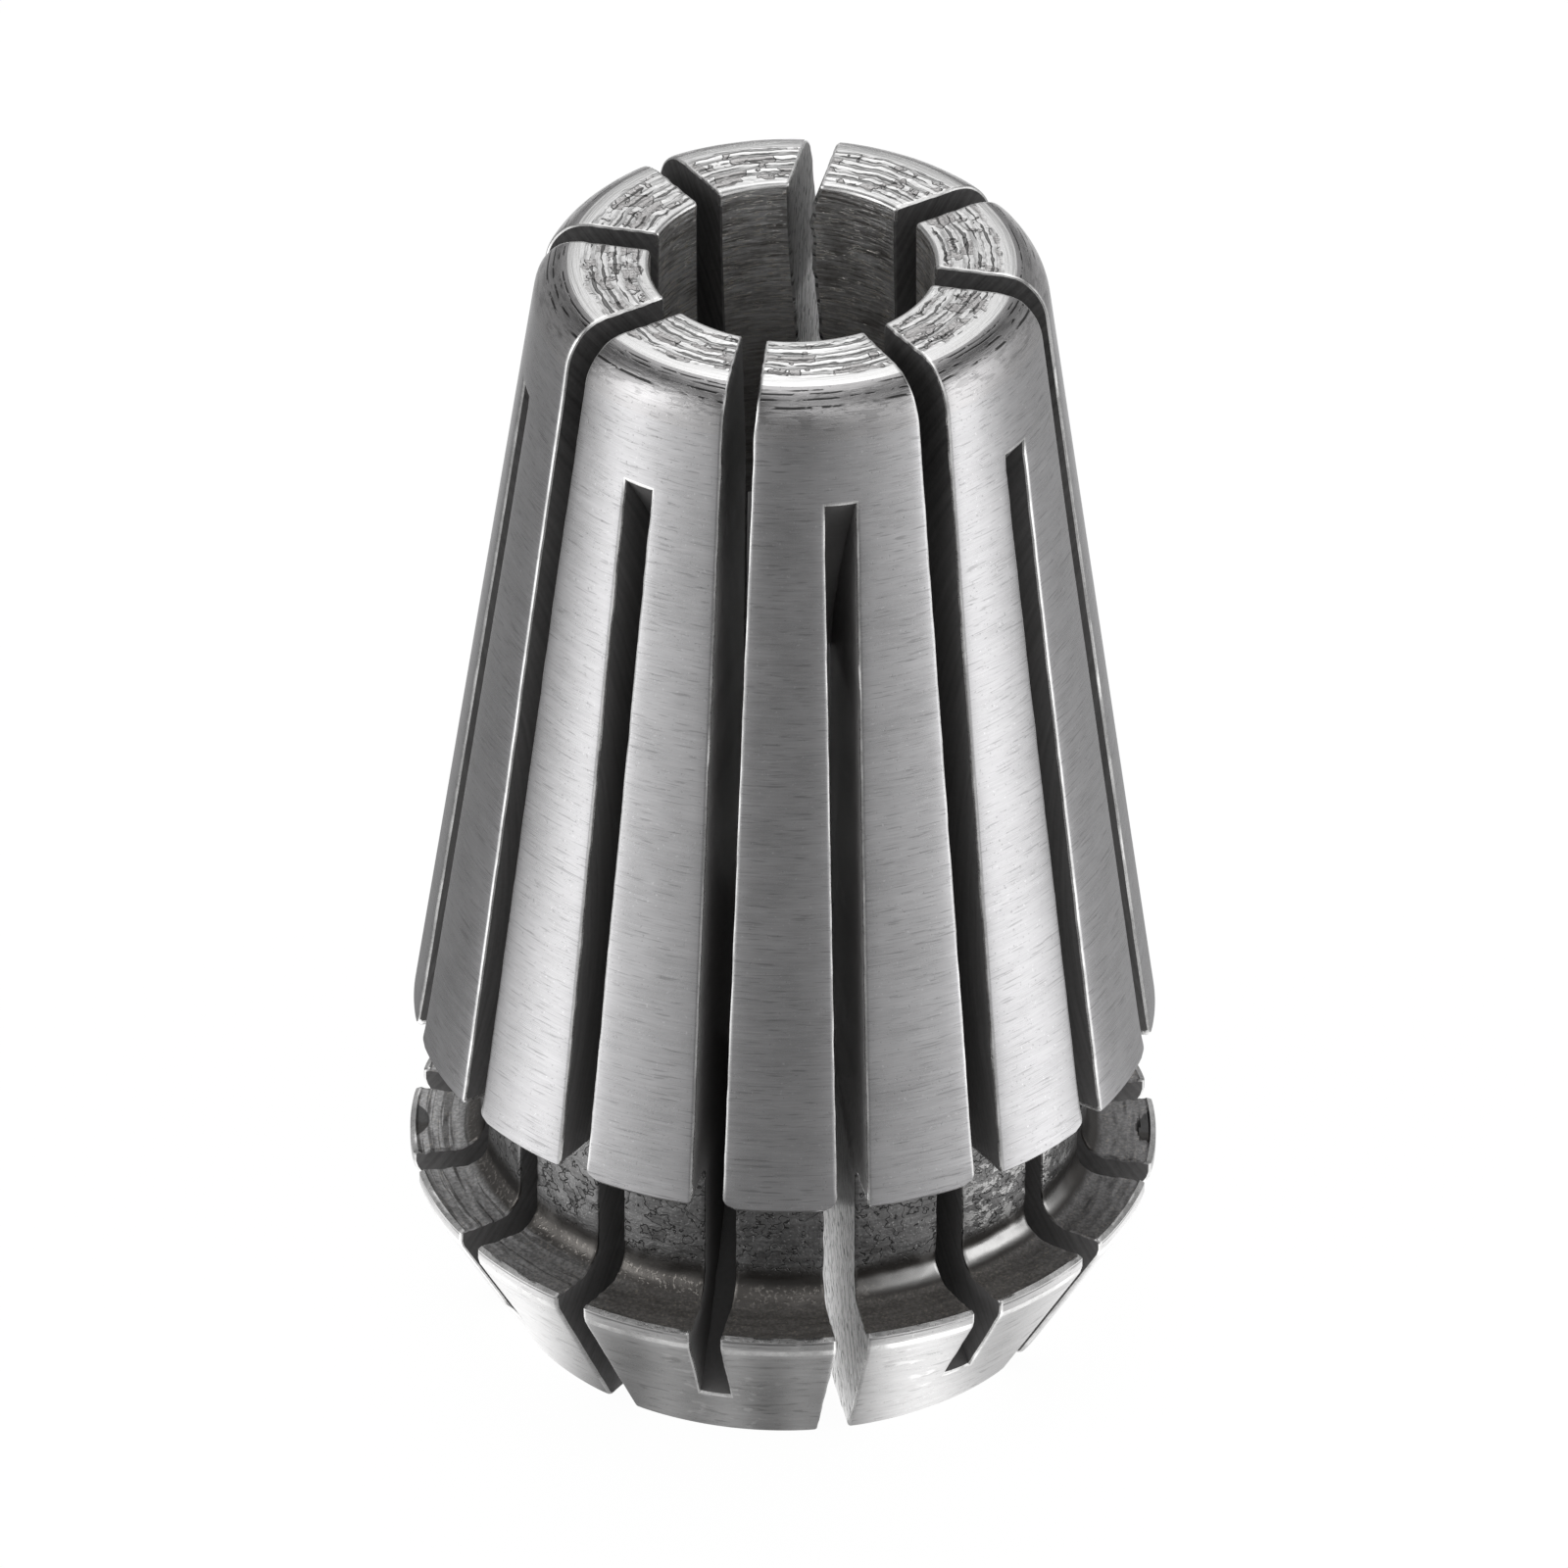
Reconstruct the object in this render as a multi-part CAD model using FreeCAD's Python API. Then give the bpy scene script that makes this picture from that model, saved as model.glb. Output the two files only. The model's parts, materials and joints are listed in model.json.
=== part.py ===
import FreeCAD, Part
import math
import os

os.makedirs("parts", exist_ok=True)

# One collet, turned and ground from a single blank, then slit from both ends.
# It stands on its large front face, centred on the origin, with the axis up.
# Lengths are in mm and angles in degrees.

# Driving sizes of the turned blank. Heights are measured up from the front face.
OVERALL_LENGTH = 27.5
RIM_DIAMETER = 17.0
RIM_TOP_HEIGHT = 4.05
RIM_LAND_WIDTH = 0.37
FRONT_CONE_HALF_ANGLE = 30.0
GROOVE_DIAMETER = 13.8
GROOVE_WIDTH = 3.45
SEAT_LARGE_DIAMETER = 16.86
SEAT_HALF_ANGLE = 8.0
REAR_FLAT_DIAMETER = 10.0
REAR_ROUND_HEIGHT = 1.0
BORE_DIAMETER = 6.35

# Driving sizes of the small rounds and edge breaks on the turned blank.
FRONT_EDGE_ROUND = 0.2
RIM_EDGE_BREAK = 0.08
SEAT_EDGE_BREAK = 0.1
GROOVE_FLOOR_ROUND = 0.6
GROOVE_SHOULDER_ROUND = 0.25
FRONT_BORE_BREAK = 0.2
REAR_BORE_BREAK = 0.12

# Driving sizes of the slots. A thin saw disc runs in along the axis from each end in turn.
SLOTS_PER_END = 8
SLOT_WIDTH = 0.7
SAW_DIAMETER = 40.0
SAW_OVERCUT_INTO_BORE = 1.0
FRONT_SLOT_END_HEIGHT = 24.8
REAR_SLOT_END_HEIGHT = 1.55
FRONT_SLOT_AZIMUTH = -90.0

# Driving sizes of the one nick struck into the upper face of the rim.
NICK_AZIMUTH = -10.6
NICK_DIAMETER = 2.2
NICK_WIDTH = 0.27
NICK_DEPTH = 0.16
NICK_EDGE_MARGIN = 0.12

# Clearances that carry a cutter past the surface it leaves.
CUTTER_MARGIN = 1.0

# Sizes worked out from the ones above.
RIM_RADIUS = RIM_DIAMETER / 2
RIM_LAND_LOWER_HEIGHT = RIM_TOP_HEIGHT - RIM_LAND_WIDTH
FRONT_FACE_RADIUS = RIM_RADIUS - RIM_LAND_LOWER_HEIGHT * math.tan(math.radians(FRONT_CONE_HALF_ANGLE))
GROOVE_RADIUS = GROOVE_DIAMETER / 2
SEAT_LOWER_HEIGHT = RIM_TOP_HEIGHT + GROOVE_WIDTH
SEAT_LARGE_RADIUS = SEAT_LARGE_DIAMETER / 2
REAR_FLAT_RADIUS = REAR_FLAT_DIAMETER / 2
BORE_RADIUS = BORE_DIAMETER / 2
SAW_RADIUS = SAW_DIAMETER / 2
SLOT_PITCH = 360.0 / SLOTS_PER_END
REAR_SLOT_AZIMUTH = FRONT_SLOT_AZIMUTH + SLOT_PITCH / 2


def point(radius, height):
    """A point of the half section, which is drawn in the plane of X and Z."""
    return FreeCAD.Vector(radius, 0, height)


def seat_radius(height):
    """Radius of the long tapered seat at a height."""
    return SEAT_LARGE_RADIUS - (height - SEAT_LOWER_HEIGHT) * math.tan(math.radians(SEAT_HALF_ANGLE))


def front_cone_radius(height):
    """Radius of the steep front cone at a height."""
    return FRONT_FACE_RADIUS + height * math.tan(math.radians(FRONT_CONE_HALF_ANGLE))


def corner_round(before, corner, after, radius):
    """Arc that rounds a corner, with the points where it meets the two straight sides."""
    side_in = (before - corner).normalize()
    side_out = (after - corner).normalize()
    half_angle = side_in.getAngle(side_out) / 2
    tangent_length = radius / math.tan(half_angle)
    start = corner + side_in * tangent_length
    end = corner + side_out * tangent_length
    bisector = (side_in + side_out).normalize()
    middle = corner + bisector * (radius / math.sin(half_angle) - radius)
    return start, middle, end


def corner_break(before, corner, after, size):
    """Two points that cut a corner off flat, each the same distance along its side."""
    side_in = (before - corner).normalize()
    side_out = (after - corner).normalize()
    return corner + side_in * size, corner + side_out * size


def rear_round():
    """Arc from the rear face down to the seat, which it meets without a crease."""
    tangent_height = OVERALL_LENGTH - REAR_ROUND_HEIGHT
    tangent = point(seat_radius(tangent_height), tangent_height)
    face_edge = point(REAR_FLAT_RADIUS, OVERALL_LENGTH)
    half_angle = math.radians(SEAT_HALF_ANGLE)
    outward = point(math.cos(half_angle), math.sin(half_angle))
    chord = tangent - face_edge
    radius = chord.dot(chord) / (2 * outward.dot(chord))
    centre = tangent - outward * radius
    towards_middle = ((tangent - centre) + (face_edge - centre)).normalize()
    return tangent, centre + towards_middle * radius, face_edge


def blank_section():
    """Closed half section of the turned blank, from the front face round to the bore."""
    front_inner = point(BORE_RADIUS, 0)
    front_outer = point(FRONT_FACE_RADIUS, 0)
    land_lower = point(RIM_RADIUS, RIM_LAND_LOWER_HEIGHT)
    rim_edge = point(RIM_RADIUS, RIM_TOP_HEIGHT)
    groove_lower = point(GROOVE_RADIUS, RIM_TOP_HEIGHT)
    groove_upper = point(GROOVE_RADIUS, SEAT_LOWER_HEIGHT)
    seat_edge = point(SEAT_LARGE_RADIUS, SEAT_LOWER_HEIGHT)
    rear_inner = point(BORE_RADIUS, OVERALL_LENGTH)

    seat_end, rear_middle, rear_edge = rear_round()
    front_break_face, front_break_bore = corner_break(front_outer, front_inner, rear_inner, FRONT_BORE_BREAK)
    rear_break_bore, rear_break_face = corner_break(front_inner, rear_inner, rear_edge, REAR_BORE_BREAK)
    edge_start, edge_middle, edge_end = corner_round(front_inner, front_outer, land_lower, FRONT_EDGE_ROUND)
    rim_break_land, rim_break_top = corner_break(land_lower, rim_edge, groove_lower, RIM_EDGE_BREAK)
    floor_start, floor_middle, floor_end = corner_round(rim_edge, groove_lower, groove_upper, GROOVE_FLOOR_ROUND)
    top_start, top_middle, top_end = corner_round(groove_lower, groove_upper, seat_edge, GROOVE_SHOULDER_ROUND)
    seat_break_under, seat_break_side = corner_break(groove_upper, seat_edge, seat_end, SEAT_EDGE_BREAK)

    edges = [
        Part.makeLine(front_break_face, edge_start),
        Part.Arc(edge_start, edge_middle, edge_end).toShape(),
        Part.makeLine(edge_end, land_lower),
        Part.makeLine(land_lower, rim_break_land),
        Part.makeLine(rim_break_land, rim_break_top),
        Part.makeLine(rim_break_top, floor_start),
        Part.Arc(floor_start, floor_middle, floor_end).toShape(),
        Part.makeLine(floor_end, top_start),
        Part.Arc(top_start, top_middle, top_end).toShape(),
        Part.makeLine(top_end, seat_break_under),
        Part.makeLine(seat_break_under, seat_break_side),
        Part.makeLine(seat_break_side, seat_end),
        Part.Arc(seat_end, rear_middle, rear_edge).toShape(),
        Part.makeLine(rear_edge, rear_break_face),
        Part.makeLine(rear_break_face, rear_break_bore),
        Part.makeLine(rear_break_bore, front_break_bore),
        Part.makeLine(front_break_bore, front_break_face),
    ]
    return Part.Face(Part.Wire(edges))


def turned_blank():
    """The blank as it leaves the lathe, before it is slit."""
    return blank_section().revolve(FreeCAD.Vector(0, 0, 0), FreeCAD.Vector(0, 0, 1), 360)


def saw_cutter(end_radius, end_height, open_height):
    """Sweep of one saw disc, run in from an open end and stopped where its rim meets the outside.

    The disc dips past the bore wall, so the slot ends in a long arc that climbs from the bore.
    The cutter lies in the plane of X and Z, on the side of positive X.
    """
    runs_up = math.copysign(1, end_height - open_height)
    inner_radius = BORE_RADIUS - SAW_OVERCUT_INTO_BORE
    centre_radius = inner_radius + SAW_RADIUS
    outer_radius = RIM_RADIUS + CUTTER_MARGIN

    def arc_rise(radius):
        """How far the rim of the disc stands ahead of its centre at a radius."""
        return math.sqrt(SAW_RADIUS ** 2 - (centre_radius - radius) ** 2)

    centre_height = end_height - runs_up * arc_rise(end_radius)
    middle_radius = (inner_radius + outer_radius) / 2
    start_height = open_height - runs_up * CUTTER_MARGIN
    inner_open = point(inner_radius, start_height)
    inner_end = point(inner_radius, centre_height)
    arc_middle = point(middle_radius, centre_height + runs_up * arc_rise(middle_radius))
    outer_end = point(outer_radius, centre_height + runs_up * arc_rise(outer_radius))
    outer_open = point(outer_radius, start_height)

    edges = [
        Part.makeLine(inner_open, inner_end),
        Part.Arc(inner_end, arc_middle, outer_end).toShape(),
        Part.makeLine(outer_end, outer_open),
        Part.makeLine(outer_open, inner_open),
    ]
    sweep = Part.Face(Part.Wire(edges))
    sweep.translate(FreeCAD.Vector(0, -SLOT_WIDTH / 2, 0))
    return sweep.extrude(FreeCAD.Vector(0, SLOT_WIDTH, 0))


def ring_of(cutter, first_azimuth):
    """Copies of a cutter, evenly spaced around the axis."""
    copies = []
    for index in range(SLOTS_PER_END):
        copy = cutter.copy()
        copy.rotate(FreeCAD.Vector(0, 0, 0), FreeCAD.Vector(0, 0, 1), first_azimuth + index * SLOT_PITCH)
        copies.append(copy)
    return copies


def front_slots():
    """Slots that open at the front face and stop short of the rear face."""
    end_radius = seat_radius(FRONT_SLOT_END_HEIGHT)
    return ring_of(saw_cutter(end_radius, FRONT_SLOT_END_HEIGHT, 0), FRONT_SLOT_AZIMUTH)


def rear_slots():
    """Slots that open at the rear face and stop in the front cone, midway between the others."""
    end_radius = front_cone_radius(REAR_SLOT_END_HEIGHT)
    return ring_of(saw_cutter(end_radius, REAR_SLOT_END_HEIGHT, OVERALL_LENGTH), REAR_SLOT_AZIMUTH)


def rim_nick():
    """Short scoop in the upper face of the rim, just inside its outer edge."""
    radius = NICK_DIAMETER / 2
    outer_side = RIM_RADIUS - NICK_EDGE_MARGIN
    centre = point(outer_side - NICK_WIDTH, RIM_TOP_HEIGHT - NICK_DEPTH + radius)
    nick = Part.makeCylinder(radius, NICK_WIDTH, centre, FreeCAD.Vector(1, 0, 0))
    nick.rotate(FreeCAD.Vector(0, 0, 0), FreeCAD.Vector(0, 0, 1), NICK_AZIMUTH)
    return nick


def collet():
    """The finished collet, slit from both ends."""
    return turned_blank().cut(front_slots() + rear_slots() + [rim_nick()])


body = collet()
solids = body.Solids
if len(solids) != 1:
    raise ValueError("the collet should be one solid, but the cuts left %d" % len(solids))
solids[0].exportStep("parts/collet.step")
print("collet volume %.1f mm3, box %s" % (solids[0].Volume, solids[0].BoundBox))
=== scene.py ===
import json
import logging
import math
from dataclasses import dataclass, field
from enum import Enum
from typing import Iterable, Union

import bmesh
import bpy
from mathutils import Matrix, Quaternion, Vector, noise


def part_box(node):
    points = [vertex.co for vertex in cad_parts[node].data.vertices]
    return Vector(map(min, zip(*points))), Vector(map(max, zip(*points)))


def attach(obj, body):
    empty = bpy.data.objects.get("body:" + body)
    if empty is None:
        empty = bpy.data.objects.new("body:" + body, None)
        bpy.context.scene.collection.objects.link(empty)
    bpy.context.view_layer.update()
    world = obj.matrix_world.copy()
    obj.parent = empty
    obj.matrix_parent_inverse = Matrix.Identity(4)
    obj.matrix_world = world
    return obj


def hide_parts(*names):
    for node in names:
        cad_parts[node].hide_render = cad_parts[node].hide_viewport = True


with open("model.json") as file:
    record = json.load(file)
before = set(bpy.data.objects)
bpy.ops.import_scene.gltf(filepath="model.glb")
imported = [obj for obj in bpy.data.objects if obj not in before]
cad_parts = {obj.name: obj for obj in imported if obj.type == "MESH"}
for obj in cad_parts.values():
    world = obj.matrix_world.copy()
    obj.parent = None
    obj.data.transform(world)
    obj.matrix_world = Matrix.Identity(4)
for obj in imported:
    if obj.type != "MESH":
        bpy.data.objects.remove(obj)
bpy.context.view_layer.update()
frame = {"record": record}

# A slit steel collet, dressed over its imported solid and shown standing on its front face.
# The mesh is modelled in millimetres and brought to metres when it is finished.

LOG = logging.getLogger("collet")

METRES_PER_MM = 0.001
NODE = "collet"
BODY = "root"
CAMERA_AZIMUTH = -10.85
WHITE = (1.0, 1.0, 1.0, 1.0)
BARE_STEEL = (0.66, 0.655, 0.65)
GRAIN_ROUGHNESS = 0.55

Point = tuple[float, float]
Edge = tuple[float, float]
Band = tuple[float, float, float, float]
Colour = tuple[float, float, float]


class Skin(Enum):
    """The finishes of the collet, numbered as its material slots."""

    GROUND = 0
    ROUND = 1
    REAR_FACE = 2
    GROOVE = 3
    CONE = 4
    SAWN = 5
    BORE = 6
    EDGE = 7


# Shader graphs


class Signal:
    """A socket of a shader graph that can be used in sums."""

    def __init__(self, graph: "ShaderGraph", socket: bpy.types.NodeSocket) -> None:
        """Keeps the graph and the socket.

        Args:
            graph: The graph that the socket is part of.
            socket: An output socket of one of its nodes.
        """
        self.graph = graph
        self.socket = socket

    def _with(self, operation: str, *values: "Operand", clamp: bool = False) -> "Signal":
        """Adds a Math node that reads these values.

        Args:
            operation: The Math node's operation.
            values: Its inputs, in order.
            clamp: Whether the result is held between 0 and 1.

        Returns:
            The node's result.
        """
        return self.graph.add(
            "ShaderNodeMath", {"operation": operation, "use_clamp": clamp}, dict(enumerate(values))
        )

    def __add__(self, other: "Operand") -> "Signal":
        """Sum."""
        return self._with("ADD", self, other)

    __radd__ = __add__

    def __sub__(self, other: "Operand") -> "Signal":
        """Difference."""
        return self._with("SUBTRACT", self, other)

    def __rsub__(self, other: "Operand") -> "Signal":
        """Difference from a number."""
        return self._with("SUBTRACT", other, self)

    def __mul__(self, other: "Operand") -> "Signal":
        """Product."""
        return self._with("MULTIPLY", self, other)

    __rmul__ = __mul__

    def __truediv__(self, other: "Operand") -> "Signal":
        """Quotient."""
        return self._with("DIVIDE", self, other)

    def __pow__(self, other: "Operand") -> "Signal":
        """Power."""
        return self._with("POWER", self, other)

    def at_least(self, other: "Operand") -> "Signal":
        """The larger of the two."""
        return self._with("MAXIMUM", self, other)

    def fraction(self) -> "Signal":
        """The part after the point."""
        return self._with("FRACT", self)

    def away_from(self, other: "Operand") -> "Signal":
        """The distance between the two."""
        return self._with("ABSOLUTE", self - other)

    def held(self) -> "Signal":
        """The value held between 0 and 1."""
        return self._with("ADD", self, 0.0, clamp=True)

    def step(self, low: float, high: float) -> "Signal":
        """A smooth rise from 0 at the low value to 1 at the high one.

        Args:
            low: Where the rise starts.
            high: Where it ends. It may be the smaller of the two, which makes a fall.

        Returns:
            The risen value.
        """
        return self.graph.add(
            "ShaderNodeMapRange",
            {"interpolation_type": "SMOOTHSTEP"},
            {"Value": self, "From Min": low, "From Max": high, "To Min": 0.0, "To Max": 1.0},
        )

    def within(self, start: float, low: float, high: float, end: float) -> "Signal":
        """A band with soft sides.

        Args:
            start: Where the lower side begins to rise.
            low: Where it is up.
            high: Where the upper side begins to fall.
            end: Where it is down.

        Returns:
            1 inside the band and 0 outside it.
        """
        return self.step(start, low) * self.step(end, high)


Operand = Union[Signal, float]


class ShaderGraph:
    """Builds the nodes of one material or world."""

    def __init__(self, tree: bpy.types.NodeTree) -> None:
        """Clears the tree.

        Args:
            tree: The node tree to build in.
        """
        self.tree = tree
        self.tree.nodes.clear()

    def add(
        self,
        kind: str,
        settings: dict[str, object] | None = None,
        inputs: dict[str | int, object] | None = None,
        output: str | int = 0,
    ) -> Signal:
        """Adds one node.

        Args:
            kind: The node's type.
            settings: Its own properties, which are set first.
            inputs: Values or links for its sockets, by name or place.
            output: The socket to hand back, by name or place.

        Returns:
            The chosen output.
        """
        node = self.tree.nodes.new(kind)
        for name, value in (settings or {}).items():
            setattr(node, name, value)
        for name, value in (inputs or {}).items():
            if isinstance(value, Signal):
                self.tree.links.new(value.socket, node.inputs[name])
            else:
                node.inputs[name].default_value = value
        return Signal(self, node.outputs[output] if node.outputs else None)

    def mix(self, amount: Operand, first: Signal | Colour, second: Signal | Colour) -> Signal:
        """Mixes two colours.

        Args:
            amount: 0 for the first colour and 1 for the second.
            first: A colour or a link.
            second: A colour or a link.

        Returns:
            The mixed colour.
        """
        pair = [value if isinstance(value, Signal) else (*value, 1.0) for value in (first, second)]
        inputs = {"Factor": amount, 6: pair[0], 7: pair[1]}
        return self.add("ShaderNodeMix", {"data_type": "RGBA"}, inputs, output=2)

    def shades(self, tone: Operand, tint: Colour, dark: float, light: float) -> Signal:
        """A tint that runs from a dark shade to a light one.

        Args:
            tone: 0 for the dark shade and 1 for the light one.
            tint: The colour.
            dark: What multiplies it at 0.
            light: What multiplies it at 1.

        Returns:
            The shaded tint.
        """
        return self.mix(tone, shaded(tint, dark), shaded(tint, light))

    def mix_shaders(self, amount: Operand, first: Signal, second: Signal) -> Signal:
        """Mixes two shaders, the first where the amount is 0."""
        return self.add("ShaderNodeMixShader", inputs={0: amount, 1: first, 2: second})

    def vector(self, x: Operand, y: Operand, z: Operand) -> Signal:
        """Joins three values to a vector."""
        return self.add("ShaderNodeCombineXYZ", inputs={"X": x, "Y": y, "Z": z})

    def vector_math(self, operation: str, *values: object, output: str | int = 0) -> Signal:
        """Adds a Vector Math node that reads these values, in order."""
        return self.add("ShaderNodeVectorMath", {"operation": operation}, dict(enumerate(values)), output)

    def noise(
        self, place: Signal, scale: float, detail: float, roughness: float, dimensions: str = "3D"
    ) -> Signal:
        """Noise at a place.

        Args:
            place: The place, as a vector.
            scale: Grains per unit of the place.
            detail: Octaves of finer noise.
            roughness: Strength of the finer octaves.
            dimensions: "3D", or "2D" for a flat pattern.

        Returns:
            A value about 0.5, between 0 and 1.
        """
        return self.add(
            "ShaderNodeTexNoise",
            {"noise_dimensions": dimensions},
            {"Vector": place, "Scale": scale, "Detail": detail, "Roughness": roughness},
        )


@dataclass(frozen=True)
class AxisPlace:
    """Where a point of the surface lies, read from the piece's own coordinates, in millimetres."""

    graph: ShaderGraph
    radius: Signal
    height: Signal
    across: Signal
    along: Signal

    @classmethod
    def of(cls, graph: ShaderGraph) -> "AxisPlace":
        """Reads the place from Object coordinates.

        Args:
            graph: The graph to add to.

        Returns:
            The radius, the height and the direction around the axis as a unit vector's two parts.
        """
        coordinates = graph.add("ShaderNodeTexCoord", output="Object")
        split = graph.add("ShaderNodeSeparateXYZ", inputs={0: coordinates})
        node = split.socket.node
        x, y, z = (Signal(graph, node.outputs[axis]) / METRES_PER_MM for axis in "XYZ")
        radius = (x * x + y * y) ** 0.5
        return cls(graph, radius, z, x / radius, y / radius)

    def facing(self, azimuth: float) -> Signal:
        """How closely the place lies towards an azimuth in degrees: 1 there, and -1 on the far side."""
        turn = math.radians(azimuth)
        return self.across * math.cos(turn) + self.along * math.sin(turn)

    def noise(
        self,
        around: float,
        out: float,
        up: float,
        detail: float = 2.0,
        roughness: float = 0.5,
        seed: Operand = 0.0,
    ) -> Signal:
        """Noise whose grains can be drawn out around the axis, with no seam.

        Args:
            around: Grains per radian around the axis.
            out: Grains per millimetre of radius.
            up: Grains per millimetre of height.
            detail: Octaves of finer noise.
            roughness: Strength of the finer octaves.
            seed: Moves the pattern.

        Returns:
            A value about 0.5, between 0 and 1.
        """
        lift = self.height * up + self.radius * out + seed
        place = self.graph.vector(self.across * around, self.along * around, lift)
        return self.graph.noise(place, 1.0, detail, roughness)

    def grains(self, scale: float, detail: float = 3.0, seed: float = 0.0) -> Signal:
        """Even noise in space.

        Args:
            scale: Grains per millimetre.
            detail: Octaves of finer noise.
            seed: Moves the pattern.

        Returns:
            A value about 0.5, between 0 and 1.
        """
        place = self.graph.vector(self.across * self.radius + seed, self.along * self.radius, self.height)
        return self.graph.noise(place, scale, detail, GRAIN_ROUGHNESS)


@dataclass(frozen=True)
class Look:
    """What changes over a surface. The relief runs from 0 to 1, which is the finish's mark depth."""

    colour: Signal
    roughness: Signal
    relief: Signal
    metal: Operand = 1.0


@dataclass(frozen=True)
class SteelFinish:
    """A finish of the steel: what all of them share."""

    name: str
    tint: Colour
    roughness: float
    brushed: float = 0.0
    gloss: float = 0.5
    mark_depth: float = 0.005

    def material(self) -> bpy.types.Material:
        """Builds the material.

        Returns:
            The finished material.
        """
        made = bpy.data.materials.new(self.name)
        made.use_nodes = True
        graph = ShaderGraph(made.node_tree)
        place = AxisPlace.of(graph)
        look = self.surface(graph, place)
        depth = self.mark_depth * METRES_PER_MM
        bump = graph.add("ShaderNodeBump", inputs={"Strength": 1.0, "Distance": depth, "Height": look.relief})
        steel = graph.add(
            "ShaderNodeBsdfPrincipled",
            inputs={
                "Base Color": look.colour,
                "Metallic": look.metal,
                "Roughness": look.roughness,
                "Specular IOR Level": self.gloss,
                "Anisotropic": self.brushed,
                "Anisotropic Rotation": 0.25 if self.brushed else 0.0,
                "Normal": bump,
            },
        )
        graph.add("ShaderNodeOutputMaterial", inputs={"Surface": steel})
        return made

    def surface(self, graph: ShaderGraph, place: AxisPlace) -> Look:
        """Works out what changes over the surface.

        Args:
            graph: The graph to add to.
            place: Where the point lies.

        Returns:
            The look of the surface there.
        """
        raise NotImplementedError


def shaded(colour: Colour, amount: float) -> Colour:
    """A colour made darker or lighter.

    Args:
        colour: The colour to change.
        amount: What to multiply it by.

    Returns:
        The changed colour, at most white.
    """
    return tuple(min(1.0, part * amount) for part in colour)


@dataclass(frozen=True)
class GroundSteel(SteelFinish):
    """Ground steel: satin, with short fine marks around the axis and small specks.

    Where it has chatter, it also has bright strokes, and dark broken lines at two heights on the rim's land.
    """

    chatter: float = 0.0
    land_lines: tuple[float, ...] = (3.95, 3.735)
    land_line_sides: Edge = (0.030, 0.012)

    def surface(self, graph: ShaderGraph, place: AxisPlace) -> Look:
        """The look of ground steel."""
        fine = place.noise(9.0, -24.0, 24.0, detail=3.0, roughness=0.65)
        broad = place.noise(2.5, -5.0, 5.0, detail=3.0, seed=7.0)
        dark_marks = place.noise(11.0, -19.0, 19.0, detail=1.0, seed=13.0).step(0.60, 0.72)
        mottle = place.grains(0.9, seed=3.0)
        specks = place.grains(15.0, detail=1.0, seed=9.0)
        pits = specks.step(0.31, 0.26)
        glints = specks.step(0.70, 0.75)
        relief = fine * 0.6 + broad * (0.4 + self.chatter) - pits * 0.3
        roughness = self.roughness + (fine - 0.5) * 0.18 + (mottle - 0.5) * 0.16
        tone = ((fine - 0.5) * 1.1 + (mottle - 0.5) * 0.7 + (broad - 0.5) * 0.5 + 0.5).held()
        colour = graph.shades(tone, self.tint, 0.78, 1.20)
        colour = graph.mix((dark_marks * 0.46 + pits * 0.4).held(), colour, shaded(self.tint, 0.42))
        colour = graph.mix(glints * 0.4, colour, shaded(self.tint, 1.6))
        if self.chatter:
            strokes = place.noise(17.0, -11.0, 11.0, detail=2.0, seed=51.0).step(0.58, 0.66)
            beaten = place.noise(5.0, -0.7, 0.7, detail=1.0, seed=44.0).step(0.56, 0.68)
            stroke = strokes * beaten * self.chatter
            broken = place.noise(6.0, 0.0, 0.0, detail=3.0, seed=61.0).step(0.38, 0.50)
            land_dark_lines: Operand = 0.0
            for height in self.land_lines:
                land_dark_lines = place.height.away_from(height).step(*self.land_line_sides) + land_dark_lines
            colour = graph.mix((land_dark_lines * broken * 0.6).held(), colour, shaded(self.tint, 0.16))
            relief = relief + stroke * 0.6
            colour = graph.mix(stroke.held(), colour, shaded(self.tint, 1.5))
        return Look(colour, roughness, relief)


@dataclass(frozen=True)
class RoundSteel(GroundSteel):
    """The rear round: ground steel with broken turning lines, painted darker where it meets the rear face as
    painted shade.
    """

    line_radii: tuple[float, ...] = (5.11, 5.20, 5.31, 5.44)
    line_width: float = 0.017
    line_wander: float = 0.16
    streak_band: Band = (5.10, 5.20, 5.64, 5.74)
    shade_edge: Edge = (5.60, 5.18)
    shade_share: float = 0.42

    def surface(self, graph: ShaderGraph, place: AxisPlace) -> Look:
        """The look of the rear round."""
        ground = super().surface(graph, place)
        wander = (place.noise(2.2, 0.0, 0.0, detail=2.0, seed=21.0) - 0.5) * self.line_wander
        dash = place.noise(9.0, 7.0, 0.0, detail=3.0, roughness=0.65, seed=24.0)
        mark: Operand = 0.0
        for radius in self.line_radii:
            share = place.noise(3.0, 0.0, 0.0, detail=1.0, seed=radius * 9.0).step(0.40, 0.50)
            line = (place.radius + wander).away_from(radius)
            mark = line.step(self.line_width * 1.6, self.line_width * 0.5) * share + mark
        mark = (mark * dash.step(0.43, 0.50)).held()
        streaked = place.noise(11.0, 15.0, 0.0, detail=3.0, roughness=0.65, seed=71.0).step(0.49, 0.58)
        mark = (streaked * place.radius.within(*self.streak_band) * 0.26 + mark).held()
        colour = graph.mix(mark * 0.95, ground.colour, shaded(self.tint, 0.08))
        # Painted shade: the round is painted darker towards the rear face.
        worn = place.radius.step(*self.shade_edge) * self.shade_share
        colour = graph.mix(worn, colour, graph.shades(mark, self.tint, 0.40, 0.08))
        return Look(colour, ground.roughness, ground.relief - mark * 0.9)


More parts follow.
